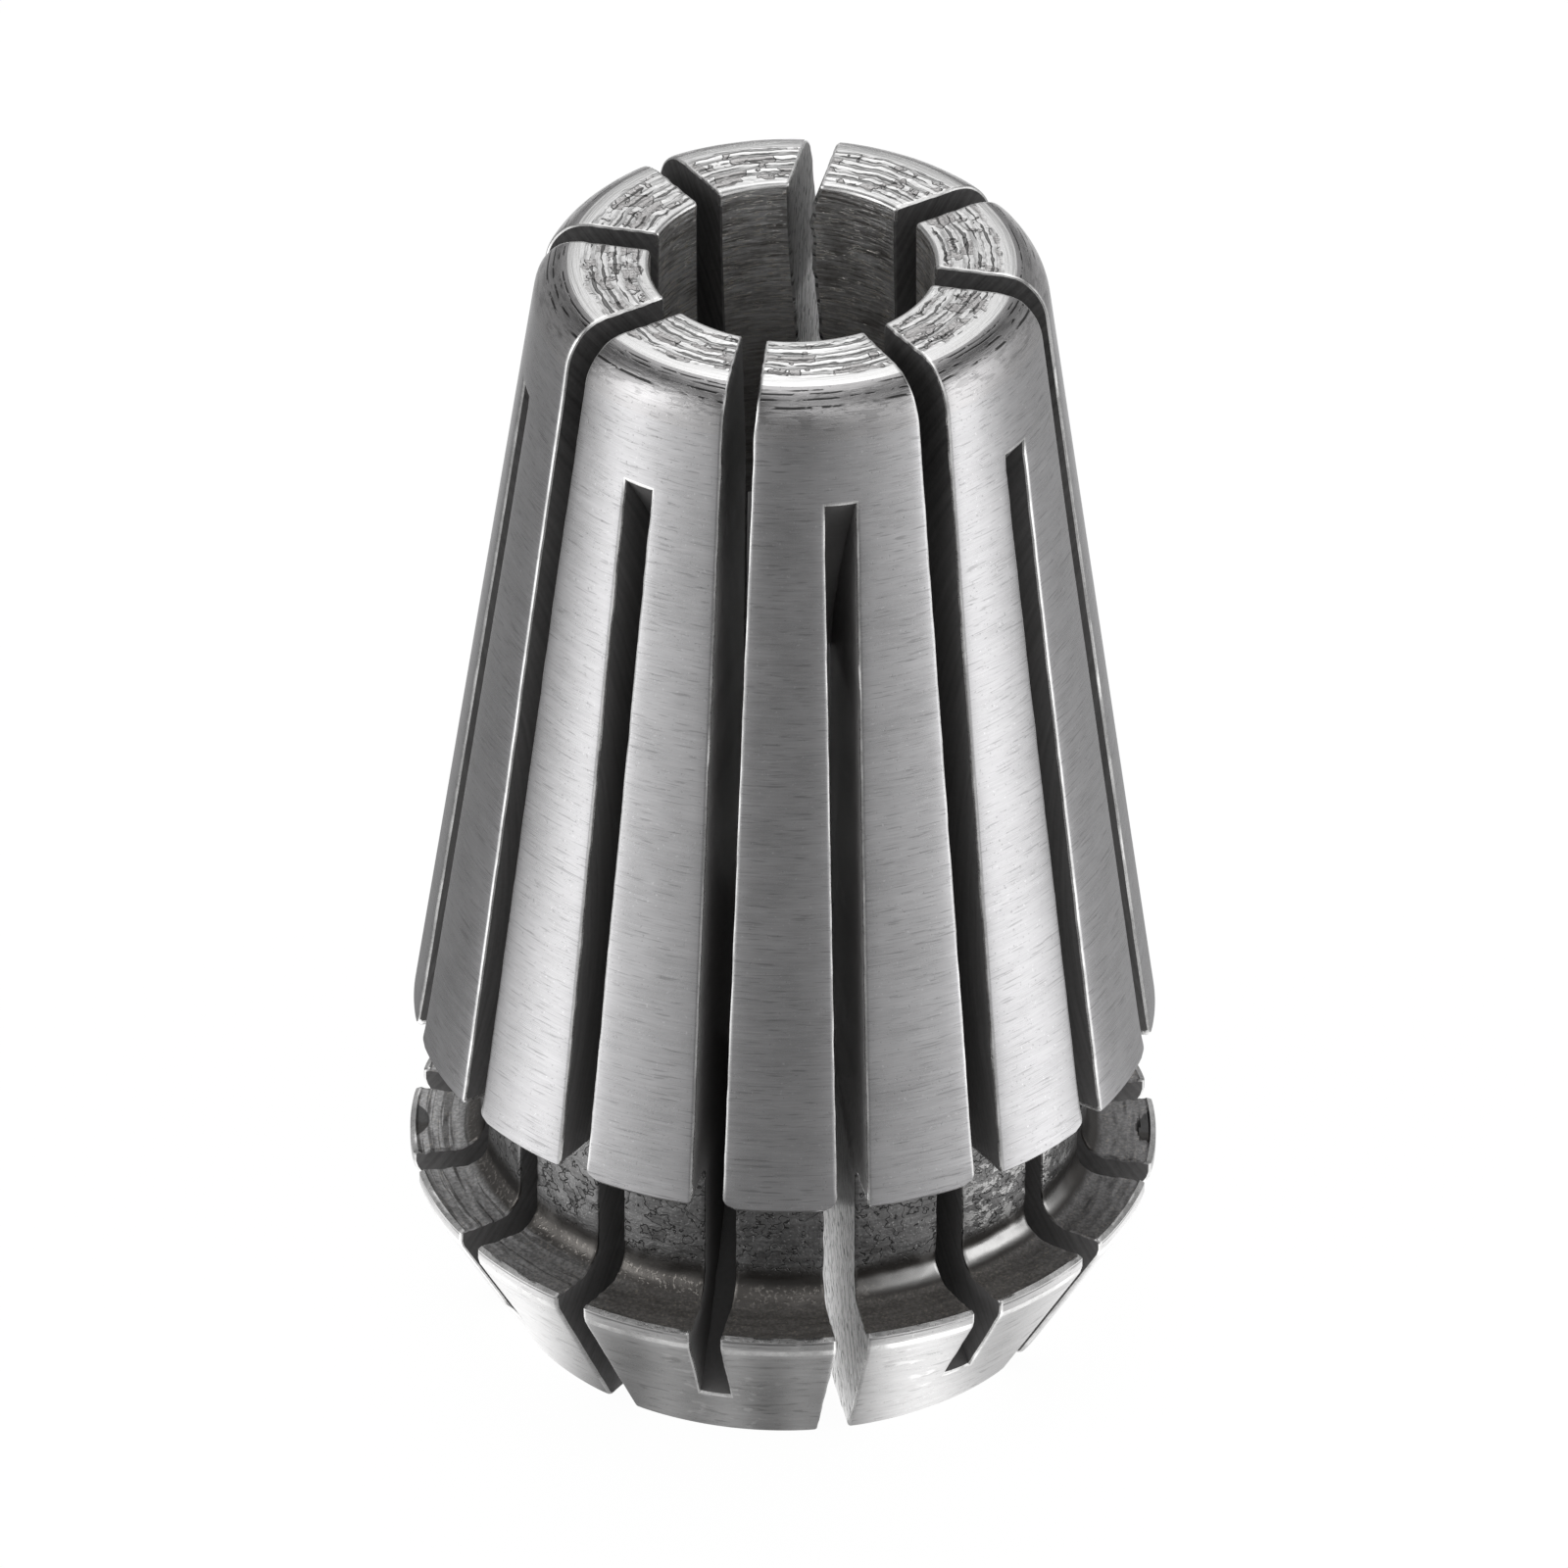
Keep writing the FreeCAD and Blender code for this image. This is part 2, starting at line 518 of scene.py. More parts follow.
@dataclass(frozen=True)
class TurnedSteel(SteelFinish):
    """The rear face: broken turned ridges with crevices and torn hollows, smooth along its rims. The crevices
    and the plates' brinks are painted dark as painted shadow.
    """

    torn_from: float = 3.40
    torn_to: float = 4.66
    torn_side: float = 0.05
    ridge_pitch: float = 0.255
    ridge_drift: float = 0.34
    brink_shadow_width: float = 0.012
    hollow_tint: Colour = (0.44, 0.41, 0.405)

    def surface(self, graph: ShaderGraph, place: AxisPlace) -> Look:
        """The look of the rear face."""
        drift = (place.noise(4.5, 1.2, 0.0, detail=3.0, roughness=0.6, seed=15.0) - 0.5) * self.ridge_drift
        ragged = (place.noise(9.0, 0.0, 0.0, detail=2.0, seed=19.0) - 0.5) * 0.3 + place.radius
        torn = ragged.step(self.torn_from - self.torn_side, self.torn_from + self.torn_side)
        torn = torn * ragged.step(self.torn_to + self.torn_side * 1.2, self.torn_to - self.torn_side * 1.2)
        rings = (place.radius + drift) / self.ridge_pitch
        share = rings.fraction()
        ring_seed = (rings - share) * 3.7
        standing = place.noise(4.6, 0.9, 0.0, detail=3.0, roughness=0.62, seed=ring_seed)
        plate = standing.step(0.435, 0.465)
        brink_shadow = ((self.brink_shadow_width - standing.away_from(0.45)) * 90.0).held() * torn
        gaping = place.noise(5.5, 2.6, 0.0, detail=2.0, roughness=0.6, seed=ring_seed + 40.0)
        crevice = ((gaping.step(0.36, 0.60) * 0.17 - share.away_from(0.5)) * 13.0).held() * torn
        lines = place.noise(2.6, 13.0, 0.0, detail=3.0, roughness=0.6, seed=5.0)
        grit = place.grains(12.0, detail=3.0, seed=4.0)
        hollow = (1 - plate) * torn
        crown = (share.away_from(0.5) * 2.0) ** 2.0
        relief = 0.5 + (plate - 0.5) * torn * 0.5 + (crown - 0.5) * torn * 0.35 - crevice * 0.45
        relief = relief + (lines - 0.5) * 0.25 + (grit - 0.5) * (hollow * 0.55 + 0.05)
        roughness = self.roughness + (grit - 0.5) * 0.15 + hollow * 0.14
        tone = ((lines - 0.5) * 1.0 + (grit - 0.5) * (hollow * 1.2 + 0.2) + 0.60).held()
        colour = graph.shades(tone, self.tint, 0.76, 1.25)
        colour = graph.mix((hollow * 0.45).held(), colour, self.hollow_tint)
        # Painted shadow: the crevices and the brinks of the plates are painted dark.
        colour = graph.mix((crevice * 0.82 + brink_shadow * 0.65).held(), colour, shaded(self.tint, 0.09))
        return Look(colour, roughness, relief)


@dataclass(frozen=True)
class GrooveSteel(SteelFinish):
    """The nut groove: a crumpled floor with torn flakes, above a smoother fillet and a dark ledge."""

    ledge_tint: Colour = (0.28, 0.265, 0.252)
    left_ledge_light_tint: Colour = (0.68, 0.675, 0.68)
    right_ledge_light_tint: Colour = (0.33, 0.325, 0.33)
    flake_light_tint: Colour = (0.55, 0.55, 0.555)
    speck_tint: Colour = (0.60, 0.52, 0.42)
    bead_highlight_tint: Colour = (0.58, 0.545, 0.51)
    ledge_height: float = 4.62
    fillet_height: float = 4.06
    bead_high: float = 4.42
    bead_low: float = 4.14
    torn_azimuth: float = -48.0
    highlight_azimuth: float = -60.0
    highlight_band: Band = (4.14, 4.30, 4.44, 4.62)
    soot: float = 0.55
    nick_azimuth: float = -10.6
    nick_half_length: float = 0.66
    nick_width: float = 0.34
    nick_outer: float = 8.38
    nick_side: float = 0.02
    nick_ends: Edge = (0.70, 0.68)
    nick_shade_tints: tuple[Colour, Colour] = ((0.02, 0.016, 0.012), (0.06, 0.06, 0.06))

    def surface(self, graph: ShaderGraph, place: AxisPlace) -> Look:
        """The look of the groove."""
        floor = place.height.step(self.ledge_height, self.ledge_height + 0.4)
        fillet = place.height.step(self.fillet_height, self.fillet_height + 0.12)
        lines = place.noise(3.5, 0.0, 9.0, detail=3.0, roughness=0.65)
        crumple = place.grains(2.6, detail=4.0, seed=5.0)
        grit = place.grains(12.0, detail=3.0, seed=11.0)
        specks = place.grains(17.0, detail=1.0, seed=2.0)
        flakes = place.noise(19.0, 1.0, 2.9, detail=2.0, roughness=0.6, seed=17.0)
        scale = flakes.step(0.44, 0.47) * 0.5 + flakes.step(0.55, 0.58) * 0.5
        crack = flakes.within(0.425, 0.445, 0.455, 0.475).held()
        torn = place.noise(16.0, 0.0, 4.2, detail=3.0, roughness=0.7, seed=26.0).step(0.50, 0.57)
        torn = torn * place.facing(self.torn_azimuth).step(0.93, 0.99) * floor
        # Painted highlight: a patch of the fillet at one azimuth is painted as bright bare steel, and is also
        # smoother and less rough.
        lit_bare_patch = place.facing(self.highlight_azimuth).step(0.86, 0.998) * place.height.within(*self.highlight_band)
        beaded = self.beads(place)
        rough_relief = crumple * 0.45 + grit * 0.18 + lines * 0.35 + scale * 0.30 - crack * 0.35 + torn * 0.4
        smooth_relief = grit * (0.12 - lit_bare_patch * 0.12) + lines * 0.04 + beaded * 0.22
        relief = rough_relief * floor + smooth_relief * (1 - floor)
        roughness = self.roughness + (grit - 0.5) * 0.2 - (1 - floor) * 0.06 - lit_bare_patch * 0.12
        tone = ((crumple - 0.5) * 0.8 + (grit - 0.5) * 1.1 + (lines - 0.5) * 1.3 + 0.5).held()
        bare = graph.shades(tone, self.tint, 0.5, 1.4)
        # Painted light: flakes on the left side of the floor are painted paler.
        left_lit_flakes = flakes.step(0.47, 0.50) * place.across.step(-0.40, -0.62)
        bare = graph.mix((left_lit_flakes * 0.16).held(), bare, self.flake_light_tint)
        bare = graph.mix((crack * 0.8).held(), bare, shaded(self.tint, 0.12))
        # The torn flakes are bare steel; the bright specks are painted glints.
        bare = graph.mix((torn * 0.8 + specks.step(0.66, 0.72) * 0.45).held(), bare, BARE_STEEL)
        ledge = graph.mix(fillet, self.sooty_ledge(graph, place, grit, specks), shaded(self.ledge_tint, 0.35))
        # Painted highlight: the beads are painted bright.
        ledge = graph.mix((beaded * 0.55).held(), ledge, self.bead_highlight_tint)
        # Painted highlight on the fillet.
        ledge = graph.mix((lit_bare_patch * 0.8).held(), ledge, BARE_STEEL)
        metal = 1 - (1 - fillet) * (1 - floor) * self.soot
        return Look(graph.mix(floor, self.nicked(graph, place, ledge), bare), roughness, relief, metal)

    def beads(self, place: AxisPlace) -> Signal:
        """Small beads along the fillet's foot on the left side: raised, and painted bright as a painted
        highlight.

        Args:
            place: Where the point lies.

        Returns:
            1 on a bead, and 0 away from the row.
        """
        beads = place.grains(12.0, detail=1.0, seed=6.0).step(0.52, 0.74)
        low, high = self.bead_low, self.bead_high
        row = place.height.within(low - 0.06, low + 0.04, high - 0.06, high + 0.10)
        return (beads * 0.75 + 0.25) * row * place.across.step(0.20, -0.05)

    def sooty_ledge(self, graph: ShaderGraph, place: AxisPlace, grit: Signal, specks: Signal) -> Signal:
        """The ledge's colour: sooty in front, and painted paler and more neutral at both sides as painted
        light, with creases and brown specks.

        Args:
            graph: The graph to add to.
            place: Where the point lies.
            grit: Fine noise.
            specks: Finer noise, with few octaves.

        Returns:
            The colour.
        """
        left = place.across.step(-0.55, -0.95)
        # Painted light: the ledge is painted paler towards the left and the right.
        ledge = graph.mix(left, self.ledge_tint, self.left_ledge_light_tint)
        ledge = graph.mix(place.across.step(0.45, 0.9), ledge, self.right_ledge_light_tint)
        creases = place.noise(2.4, 8.0, 0.0, detail=3.0, roughness=0.6, seed=33.0).step(0.47, 0.41)
        ledge = graph.mix(creases * (left * 0.5 + 0.15), ledge, shaded(self.ledge_tint, 0.25))
        soot = (grit * 0.6 + specks * 0.4).step(0.62, 0.38)
        ledge = graph.mix(soot * 0.5, ledge, shaded(self.ledge_tint, 0.3))
        return graph.mix(specks.step(0.64, 0.70) * 0.4, ledge, self.speck_tint)

    def nicked(self, graph: ShaderGraph, place: AxisPlace, ledge: Signal) -> Signal:
        """Paints shade on the ledge inside the nick, which has a straight outer side and a bowed inner one;
        one half is painted darker than the other.

        Args:
            graph: The graph to add to.
            place: Where the point lies.
            ledge: Colour of the ledge.

        Returns:
            The colour with the nick.
        """
        turn = math.radians(self.nick_azimuth)
        beside = (place.along * math.cos(turn) - place.across * math.sin(turn)) * place.radius - 0.05
        bow = (1 - (beside / self.nick_half_length) ** 2.0) * self.nick_width
        nick = (place.radius - self.nick_outer + bow).step(0.0, 0.04)
        nick = nick * place.radius.step(self.nick_outer, self.nick_outer - self.nick_side)
        nick = nick * beside.away_from(0.0).step(*self.nick_ends)
        # Painted shade inside the nick.
        return graph.mix(nick * 0.92, ledge, graph.mix(beside.step(-0.12, 0.0), *self.nick_shade_tints))


@dataclass(frozen=True)
class BareLitWall:
    """A place on the slot walls that is left bare metal, where light reaches it, while the rest is painted
    black as shade.

    It lies between two heights. Its upper limit climbs outwards by the slope.
    """

    azimuth: float
    low: float
    high: float
    slope: float
    bareness: float


@dataclass(frozen=True)
class SawnSteel(SteelFinish):
    """Slot walls: arcs that the saw disc left, painted black as shade but for a few bare places where light
    reaches them.
    """

    saw_centre: Point = (22.175, 14.0)
    painted_wall_tint: Colour = (0.80, 0.785, 0.785)
    blackness: float = 0.26
    end_blackness: float = 0.15
    lit_azimuth: float = -101.0
    rear_ends: Edge = (25.8, 22.0)
    front_ends: Edge = (6.5, 9.5)
    bare_lit_walls: tuple[BareLitWall, ...] = (
        BareLitWall(-90.0, -2.0, 1.7, 0.68, 1.0),
        BareLitWall(-90.0, -2.0, 5.2, 0.68, 0.16),
        BareLitWall(67.5, 18.0, 40.0, 0.0, 0.48),
        BareLitWall(67.5, 18.0, 24.2, 0.0, 0.42),
    )

    def surface(self, graph: ShaderGraph, place: AxisPlace) -> Look:
        """The look of a slot wall."""
        inward = self.saw_centre[0] - place.radius
        rise = place.height - self.saw_centre[1]
        sweep = (inward * inward + rise * rise) ** 0.5
        # Bare metal where light reaches the walls; elsewhere they are painted black as shade.
        lit_bare_patch: Operand = 0.0
        for patch in self.bare_lit_walls:
            top = place.height - place.radius * patch.slope
            span = top.step(patch.high + 0.4, patch.high) * place.height.step(patch.low, patch.low + 2.0)
            lit_bare_patch = place.facing(patch.azimuth).step(0.97, 0.985) * span * patch.bareness + lit_bare_patch
        lit_bare_patch = lit_bare_patch.held()
        streaks = self.saw_noise(graph, sweep * 7.5, place.height * 0.22, 3.0)
        pocks = self.saw_noise(graph, sweep * 11.0 + 31.0, place.height * 4.0, 1.0).step(0.61, 0.66)
        grit = place.grains(10.0, detail=3.0, seed=6.0)
        relief = (streaks * 0.75 + grit * 0.25 - pocks * 0.3) * (lit_bare_patch * 0.94 + 0.06)
        tone = ((streaks - 0.5) * 2.2 + (grit - 0.5) * 0.9 + 0.5).held()
        groove = (streaks - 0.5).step(-0.05, -0.11)
        bare = graph.shades(tone, self.tint, 0.85, 1.2)
        bare = graph.mix((pocks * 0.85 + groove * 0.45).held(), bare, shaded(self.tint, 0.10))
        # Painted shade and light: the walls are painted darker near their ends and on the far side, and paler
        # where they face the lit azimuth.
        inner = place.height.step(*self.rear_ends) * (place.height.step(*self.front_ends) * 0.5 + 0.5)
        lit = place.facing(self.lit_azimuth).step(0.955, 0.975)
        inner = inner * (lit + 1) * (1 - place.along.step(0.75, 0.90) * 0.8)
        near_ends = graph.shades(tone, self.painted_wall_tint, self.end_blackness * 0.7, self.end_blackness * 1.3)
        further_in = graph.shades(tone, self.painted_wall_tint, self.blackness * 0.85, self.blackness * 1.15)
        black = graph.mix(inner.held(), near_ends, further_in)
        black = graph.mix((inner - 1).held() * 0.22, black, self.painted_wall_tint)
        roughness = self.roughness + (streaks - 0.5) * 0.25
        return Look(graph.mix(lit_bare_patch, black, bare), roughness, relief, lit_bare_patch)

    @staticmethod
    def saw_noise(graph: ShaderGraph, across: Signal, along: Signal, detail: float) -> Signal:
        """Noise in the plane of a slot wall.

        Args:
            graph: The graph to add to.
            across: Place across the saw's arcs, in grains.
            along: Place along them, in grains.
            detail: Octaves of finer noise.

        Returns:
            A value about 0.5, between 0 and 1.
        """
        return graph.noise(graph.vector(across, along, 0.0), 1.0, detail, 0.6, dimensions="2D")


@dataclass(frozen=True)
class BoreSteel(SteelFinish):
    """The bore: brown and coarse, with scratches around it that glint, and painted black deeper down as
    painted shade.
    """

    lit_from: float = 26.4
    dark_below: float = 21.8
    glint_tint: Colour = (1.0, 0.95, 0.88)
    deep_shade_tint: Colour = (0.07, 0.064, 0.060)

    def surface(self, graph: ShaderGraph, place: AxisPlace) -> Look:
        """The look of the bore."""
        lines = place.noise(3.6, 0.0, 15.0, detail=3.0, roughness=0.65)
        scratch = place.noise(11.0, 0.0, 27.0, detail=1.0, seed=3.0).step(0.575, 0.62)
        patch = place.grains(1.3, seed=14.0)
        grit = place.grains(10.0, detail=3.0)
        # Painted shade: below the lit mouth the bore is painted black and less metallic.
        mouth = place.height.step(self.dark_below, self.lit_from) * 0.85 + 0.15
        glint = scratch * patch.step(0.38, 0.52)
        relief = lines * 0.6 + grit * 0.1 + glint * 1.2
        roughness = self.roughness + (lines - 0.5) * 0.3 - glint * 0.12
        tone = ((lines - 0.5) * 2.8 + (grit - 0.5) * 0.4 + (patch - 0.5) * 1.2 + 0.5).held()
        colour = graph.shades(tone, self.tint, 0.36, 1.4)
        colour = graph.mix((glint * 0.9).held(), colour, self.glint_tint)
        return Look(graph.mix(mouth, self.deep_shade_tint, colour), roughness, relief, mouth)


@dataclass(frozen=True)
class EdgeSteel(SteelFinish):
    """The narrow rounded edges that deburring left along the slots."""

    def surface(self, graph: ShaderGraph, place: AxisPlace) -> Look:
        """The look of an edge."""
        grit = place.grains(9.0, detail=3.0, seed=1.0)
        worn = place.grains(0.8, detail=3.0, seed=12.0).step(0.42, 0.62)
        tone = (worn * 0.75 + grit.step(0.36, 0.6) * 0.25).held()
        colour = graph.mix(tone, shaded(self.tint, 0.58), self.tint)
        return Look(colour, self.roughness + (grit - 0.5) * 0.2, grit)


FINISHES: dict[Skin, SteelFinish] = {
    Skin.GROUND: GroundSteel("ground_taper_steel", (0.60, 0.595, 0.605), 0.29, brushed=0.6),
    Skin.ROUND: RoundSteel("rear_round_steel", (0.61, 0.60, 0.605), 0.27, brushed=0.4),
    Skin.REAR_FACE: TurnedSteel("turned_rear_face_steel", (0.88, 0.87, 0.862), 0.24, mark_depth=0.05),
    Skin.GROOVE: GrooveSteel("coarse_groove_steel", (0.20, 0.198, 0.198), 0.42, mark_depth=0.035),
    Skin.CONE: GroundSteel(
        "ground_cone_steel", (0.64, 0.635, 0.635), 0.30, brushed=0.4, mark_depth=0.008, chatter=0.5
    ),
    Skin.SAWN: SawnSteel("sawn_slot_steel", (0.90, 0.895, 0.89), 0.45, gloss=0.06, mark_depth=0.045),
    Skin.BORE: BoreSteel("scratched_bore_steel", (0.98, 0.92, 0.885), 0.42, mark_depth=0.036),
    Skin.EDGE: EdgeSteel("deburred_edge_steel", (1.0, 0.995, 0.99), 0.29, mark_depth=0.006),
}


# The collet's section


@dataclass(frozen=True)
class Stretch:
    """Part of the turned section that has one finish."""

    skin: Skin
    points: tuple[Point, ...]


@dataclass(frozen=True)
class SawCut:
    """The sweep of the saw disc at the end of one slot."""

    saw_radius: float
    centre_radius: float
    centre_height: float
    rises: float

    @classmethod
    def ending_at(cls, end: Point, inner: float, saw_radius: float, rises: float) -> "SawCut":
        """Places the disc so that its rim passes through the slot's outer end.

        Args:
            end: Radius and height of the slot's end on the outside.
            inner: Radius that the disc dips to.
            saw_radius: Radius of the disc.
            rises: 1 for a slot that comes from the front face, and -1 for one from the rear face.

        Returns:
            The placed disc.
        """
        centre_radius = inner + saw_radius
        rise = math.sqrt(saw_radius**2 - (centre_radius - end[0]) ** 2)
        return cls(saw_radius, centre_radius, end[1] - rises * rise, rises)

    def height_at(self, radius: float) -> float:
        """Height of the disc's rim at a radius."""
        rise = math.sqrt(self.saw_radius**2 - (self.centre_radius - radius) ** 2)
        return self.centre_height + self.rises * rise

    def run_out(self, inner: float, outer: float, count: int) -> tuple[Point, ...]:
        """Points along the slot's floor.

        Args:
            inner: Radius of the first point.
            outer: Radius of the last point.
            count: Number of spans.

        Returns:
            The points, from the inside out.
        """
        radii = [inner + (outer - inner) * step / count for step in range(count + 1)]
        return tuple((radius, self.height_at(radius)) for radius in radii)


class Trace:
    """Follows the turned section from point to point and keeps a stretch for each side and corner."""

    def __init__(self, start: Point) -> None:
        """Starts the trace.

        Args:
            start: Radius and height of its first point.
        """
        self.place = start
        self.stretches: list[Stretch] = []

    def keep(self, skin: Skin, points: Iterable[Point]) -> None:
        """Keeps a stretch and moves to its end."""
        self.stretches.append(Stretch(skin, tuple(points)))
        self.place = self.stretches[-1].points[-1]

    def line(self, skin: Skin, end: Point, count: int) -> None:
        """Runs straight to a point.

        Args:
            skin: Finish of the side.
            end: Where it ends.
            count: Number of spans.
        """
        start = self.place
        along = end[0] - start[0], end[1] - start[1]
        shares = [step / count for step in range(count + 1)]
        self.keep(skin, [(start[0] + along[0] * share, start[1] + along[1] * share) for share in shares])

    def arc(self, skin: Skin, centre: Point, radius: float, first: float, last: float, count: int) -> None:
        """Runs around a corner.

        Args:
            skin: Finish of the corner.
            centre: Centre of the arc.
            radius: Its radius.
            first: Angle of its first point, in degrees from the radial direction.
            last: Angle of its last point.
            count: Number of spans.
        """
        turns = [math.radians(first + (last - first) * step / count) for step in range(count + 1)]
        arms = [(radius * math.cos(turn), radius * math.sin(turn)) for turn in turns]
        self.keep(skin, [(centre[0] + out, centre[1] + up) for out, up in arms])


@dataclass(frozen=True)
class ColletSection:
    """Sizes of the collet in millimetres, and the half section that they give."""

    length: float
    rim_radius: float
    bore_radius: float
    rim_top: float = 4.05
    rim_land: float = 0.37
    front_half_angle: float = 30.0
    groove_radius: float = 6.9
    seat_lower: float = 7.5
    seat_radius_low: float = 8.43
    seat_half_angle: float = 8.0
    rear_flat_radius: float = 5.0
    rear_round_height: float = 1.0
    front_edge_round: float = 0.2
    rim_edge_break: float = 0.08
    rim_lip_width: float = 0.12
    rim_lip_drop: float = 0.05
    seat_edge_break: float = 0.1
    seat_edge_band: float = 0.6
    groove_floor_round: float = 0.6
    groove_shoulder_round: float = 0.25
    front_bore_break: float = 0.2
    rear_bore_break: float = 0.12
    slot_width: float = 0.7
    slots_per_end: int = 8
    saw_radius: float = 20.0
    saw_overcut: float = 1.0
    front_slot_end: float = 24.8
    rear_slot_end: float = 1.55

    @property
    def half_slot(self) -> float:
        """Distance of a slot's wall from its middle."""
        return self.slot_width / 2

    @property
    def pitch(self) -> float:
        """Angle between two slots from the same end, in radians."""
        return 2 * math.pi / self.slots_per_end

    def on_seat(self, height: float) -> Point:
        """The point of the long taper at a height."""
        drop = (height - self.seat_lower) * math.tan(math.radians(self.seat_half_angle))
        return (self.seat_radius_low - drop, height)

    def on_cone(self, height: float) -> Point:
        """The point of the front cone at a height."""
        drop = self.rim_top - self.rim_land - height
        return (self.rim_radius - drop * math.tan(math.radians(self.front_half_angle)), height)

    @property
    def front_cut(self) -> SawCut:
        """The disc that cuts the slots from the front face."""
        inner = self.bore_radius - self.saw_overcut
        return SawCut.ending_at(self.on_seat(self.front_slot_end), inner, self.saw_radius, 1.0)

    @property
    def rear_cut(self) -> SawCut:
        """The disc that cuts the slots from the rear face."""
        inner = self.bore_radius - self.saw_overcut
        return SawCut.ending_at(self.on_cone(self.rear_slot_end), inner, self.saw_radius, -1.0)

    def rear_round(self) -> tuple[Point, float, float, float]:
        """The rear round, which meets the taper without a crease.

        Returns:
            Its centre, its radius, and the angles where it leaves the taper and meets the rear face.
        """
        tangent = Vector(self.on_seat(self.length - self.rear_round_height))
        edge = Vector((self.rear_flat_radius, self.length))
        angle = math.radians(self.seat_half_angle)
        outward = Vector((math.cos(angle), math.sin(angle)))
        chord = tangent - edge
        radius = chord.dot(chord) / (2 * outward.dot(chord))
        centre = tangent - outward * radius
        to_edge = edge - centre
        return tuple(centre), radius, self.seat_half_angle, math.degrees(math.atan2(to_edge.y, to_edge.x))

    def front_stretches(self) -> list[Stretch]:
        """The part of the section below the rear slots' ends, from the bore round to the cone."""
        chamfer = self.front_bore_break
        size = self.front_edge_round
        half_corner = math.radians(90.0 + self.front_half_angle) / 2
        corner = (self.on_cone(0.0)[0] - size / math.tan(half_corner), size)
        trace = Trace((self.bore_radius, self.rear_cut.height_at(self.bore_radius)))
        trace.line(Skin.BORE, (self.bore_radius, chamfer), 12)
        trace.line(Skin.BORE, (self.bore_radius + chamfer, 0.0), 2)
        trace.line(Skin.CONE, (corner[0], 0.0), 8)
        trace.arc(Skin.CONE, corner, size, -90.0, -self.front_half_angle, 4)
        trace.line(Skin.CONE, self.on_cone(self.rear_slot_end), 8)
        return trace.stretches

    def middle_stretches(self) -> list[Stretch]:
        """The outside between the ends of the two sets of slots."""
        land_low = self.rim_top - self.rim_land
        lip = self.rim_edge_break
        floor = self.groove_floor_round
        under = self.groove_shoulder_round
        corner = self.seat_edge_break
        tilt = math.radians(self.seat_half_angle)
        break_top = self.seat_radius_low - corner * math.sin(tilt), self.seat_lower + corner * math.cos(tilt)
        trace = Trace(self.on_cone(self.rear_slot_end))
        trace.line(Skin.CONE, self.on_cone(land_low - lip), 9)
        trace.line(Skin.EDGE, (self.rim_radius, land_low + lip), 2)
        trace.line(Skin.CONE, (self.rim_radius, self.rim_top - self.rim_lip_drop), 3)
        trace.line(Skin.EDGE, (self.rim_radius - self.rim_lip_width, self.rim_top), 2)
        trace.line(Skin.GROOVE, (self.groove_radius + floor, self.rim_top), 20)
        trace.arc(Skin.GROOVE, (self.groove_radius + floor, self.rim_top + floor), floor, 270.0, 180.0, 8)
        trace.line(Skin.GROOVE, (self.groove_radius, self.seat_lower - under), 22)
        trace.arc(Skin.GROOVE, (self.groove_radius + under, self.seat_lower - under), under, 180.0, 90.0, 4)
        trace.line(Skin.GROOVE, (self.seat_radius_low - corner, self.seat_lower), 6)
        trace.line(Skin.GROUND, break_top, 2)
        trace.line(Skin.GROUND, self.on_seat(self.seat_lower + self.seat_edge_band), 6)
        trace.line(Skin.GROUND, self.on_seat(self.front_slot_end), 46)
        return trace.stretches

    def rear_stretches(self) -> list[Stretch]:
        """The part of the section above the front slots' ends, from the taper round to the bore."""
        chamfer = self.rear_bore_break
        mouth = self.bore_radius + chamfer
        trace = Trace(self.on_seat(self.front_slot_end))
        trace.line(Skin.GROUND, self.on_seat(self.length - self.rear_round_height), 7)
        trace.arc(Skin.ROUND, *self.rear_round(), 12)
        trace.line(Skin.REAR_FACE, (mouth, self.length), 52)
        trace.arc(Skin.REAR_FACE, (mouth, self.length - chamfer), chamfer, 90.0, 180.0, 4)
        trace.line(Skin.BORE, (self.bore_radius, self.front_cut.height_at(self.bore_radius)), 34)
        return trace.stretches

    def bore_stretches(self) -> list[Stretch]:
        """The bore between the ends of the two sets of slots."""
        trace = Trace((self.bore_radius, self.front_cut.height_at(self.bore_radius)))
        trace.line(Skin.BORE, (self.bore_radius, self.rear_cut.height_at(self.bore_radius)), 16)
        return trace.stretches


